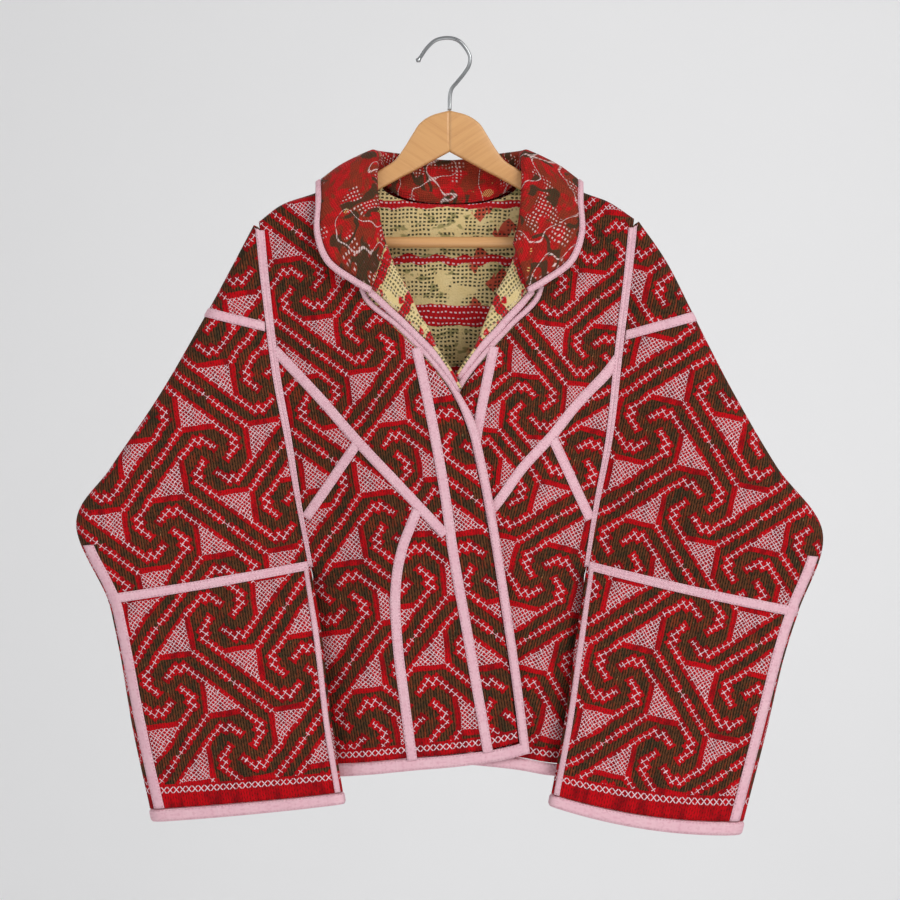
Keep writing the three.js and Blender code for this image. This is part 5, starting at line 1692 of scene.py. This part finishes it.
def build_hook():
    points = smooth_curve([(row["x"], 0, row["z"]) for row in HOOK_ROWS], np.linspace(0, 1, 170))
    steps = np.linalg.norm(np.diff(points, axis=0), axis=1)
    way = np.concatenate([[0], np.cumsum(steps)])
    bead = BEAD_HEIGHT * np.exp(-((way - BEAD_AT) / BEAD_SPREAD) ** 2)
    tip = np.sqrt(np.clip(way / TIP_ROUND, 0.02, 1))
    return tube("wire_hook", points, (WIRE_DIAMETER / 2 + bead) * tip, 20, "wire")


def build_bar():
    x = np.linspace(-BAR_REACH, BAR_REACH, 60)
    from_end = (BAR_REACH - np.abs(x)) / BAR_END_RUN
    ends = np.sqrt(np.clip(from_end + BAR_END_LEAST, BAR_END_LEAST, 1))
    centres = np.stack([x, 0 * x, BAR_Z + 0 * x], -1)
    return tube("wooden_bar", centres, BAR_DIAMETER / 2 * ends, 32, "wood_bar")


# Building
build_back()
for side in SIDES:
    build_front(side)
    build_sleeve(side)
    build_lapel(side)
    build_arm(side)
build_centre()
build_collar()
build_hook()
build_bar()


# What each piece stands for in the solids; those solids are hidden
STANDS_FOR = {
    "cloth_back": "back_panel", "cloth_collar": "collar", "cloth_centre_right": "front_centre_right",
    "wire_hook": "hanger_hook", "wooden_bar": "hanger_bar",
}
for side in SIDES:
    for piece, node in (
        ("cloth_yoke_", "front_yoke_"), ("cloth_side_", "front_side_"),
        ("cloth_lower_", "front_lower_"), ("cloth_placket_", "front_placket_"),
        ("cloth_cap_", "sleeve_cap_"), ("cloth_sleeve_upper_", "sleeve_upper_"),
        ("cloth_sleeve_front_", "sleeve_lower_front_"), ("cloth_sleeve_back_", "sleeve_lower_back_"),
        ("cloth_lapel_", "lapel_"), ("wooden_arm_", "hanger_arm_"),
    ):
        STANDS_FOR[piece + side] = node + side
for name in PIECES:
    if name.startswith("band_"):
        STANDS_FOR[name] = name.replace("band_", "tape_", 1)
    if name.startswith("bound_"):
        STANDS_FOR[name] = name.replace("bound_", "binding_", 1)

for name, piece in PIECES.items():
    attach(piece, "root")
    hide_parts(STANDS_FOR[name])


# The backdrop, lights and camera
CAMERA_AWAY = 3.2
PHOTO_WIDTH = 0.9
CLOTH_FRONT = -0.02
MIDDLE = (0.0005, -0.4125)
WALL_AWAY = 4.2
WALL_HALF = 5.0
WALL_TOP = 3.0
FLOOR_Z = -2.2
BEND = 0.8
BEND_STEPS = 12
DAYLIGHT = 0.42


def build_backdrop():
    """A far pale wall that curves into a pale floor."""
    path = [(WALL_AWAY, WALL_TOP), (WALL_AWAY, FLOOR_Z + BEND)]
    for step in range(1, BEND_STEPS + 1):
        turn = math.radians(90 * step / BEND_STEPS)
        path.append((WALL_AWAY - BEND + BEND * math.cos(turn), FLOOR_Z + BEND - BEND * math.sin(turn)))
    path.append((-WALL_HALF, FLOOR_Z))
    vertices = [(x / MM, y / MM, z / MM) for y, z in path for x in (-WALL_HALF, WALL_HALF)]
    faces = [[2 * k, 2 * k + 1, 2 * k + 3, 2 * k + 2] for k in range(len(path) - 1)]
    wall = make_object("backdrop", vertices, faces, ("backdrop",), {})
    del PIECES["backdrop"]


def light(name, place, aim, size, power, colour):
    data = bpy.data.lights.new(name, "AREA")
    data.shape = "RECTANGLE"
    data.size, data.size_y = size
    data.energy = power
    data.color = colour
    lamp = bpy.data.objects.new(name, data)
    lamp.location = place
    lamp.rotation_euler = (Vector(aim) - Vector(place)).to_track_quat("-Z", "Y").to_euler()
    bpy.context.scene.collection.objects.link(lamp)


build_backdrop()
WARM, COOL, PLAIN = (1, 0.995, 0.98), (0.98, 0.99, 1), (1, 1, 1)
LAMPS = table("name place aim size power colour", [
    ["key", (2.0, -2.3, 1.1), (0, 0, -0.4), (1.8, 1.8), 60, WARM],
    ["fill", (-2.3, -2.6, 0.3), (0, 0, -0.45), (2.2, 2.2), 20, COOL],
    ["low_fill", (0.2, -2.6, -1.7), (0, 0, -0.5), (1.8, 1.0), 8, PLAIN],
    ["back_fill", (-1.2, 2.8, 1.0), (0, 0, -0.4), (2.2, 2.2), 26, PLAIN],
    ["wall_wash", (0.8, 1.4, 0.4), (0.2, WALL_AWAY, -0.4), (2.0, 2.0), 22, PLAIN],
])
for lamp in LAMPS:
    light(**lamp)
world = bpy.data.worlds.new("studio")
world.use_nodes = True
world.node_tree.nodes["Background"].inputs[0].default_value = (1, 1, 1, 1)
world.node_tree.nodes["Background"].inputs[1].default_value = DAYLIGHT
bpy.context.scene.world = world

camera_data = bpy.data.cameras.new("camera")
camera_data.sensor_width = 36
camera_data.lens = camera_data.sensor_width * (CAMERA_AWAY + CLOTH_FRONT) / PHOTO_WIDTH
camera = bpy.data.objects.new("camera", camera_data)
camera.location = (MIDDLE[0], -CAMERA_AWAY, MIDDLE[1])
camera.rotation_euler = (math.pi / 2, 0, 0)
bpy.context.scene.collection.objects.link(camera)
bpy.context.scene.camera = camera
bpy.context.scene.view_settings.view_transform = "Standard"
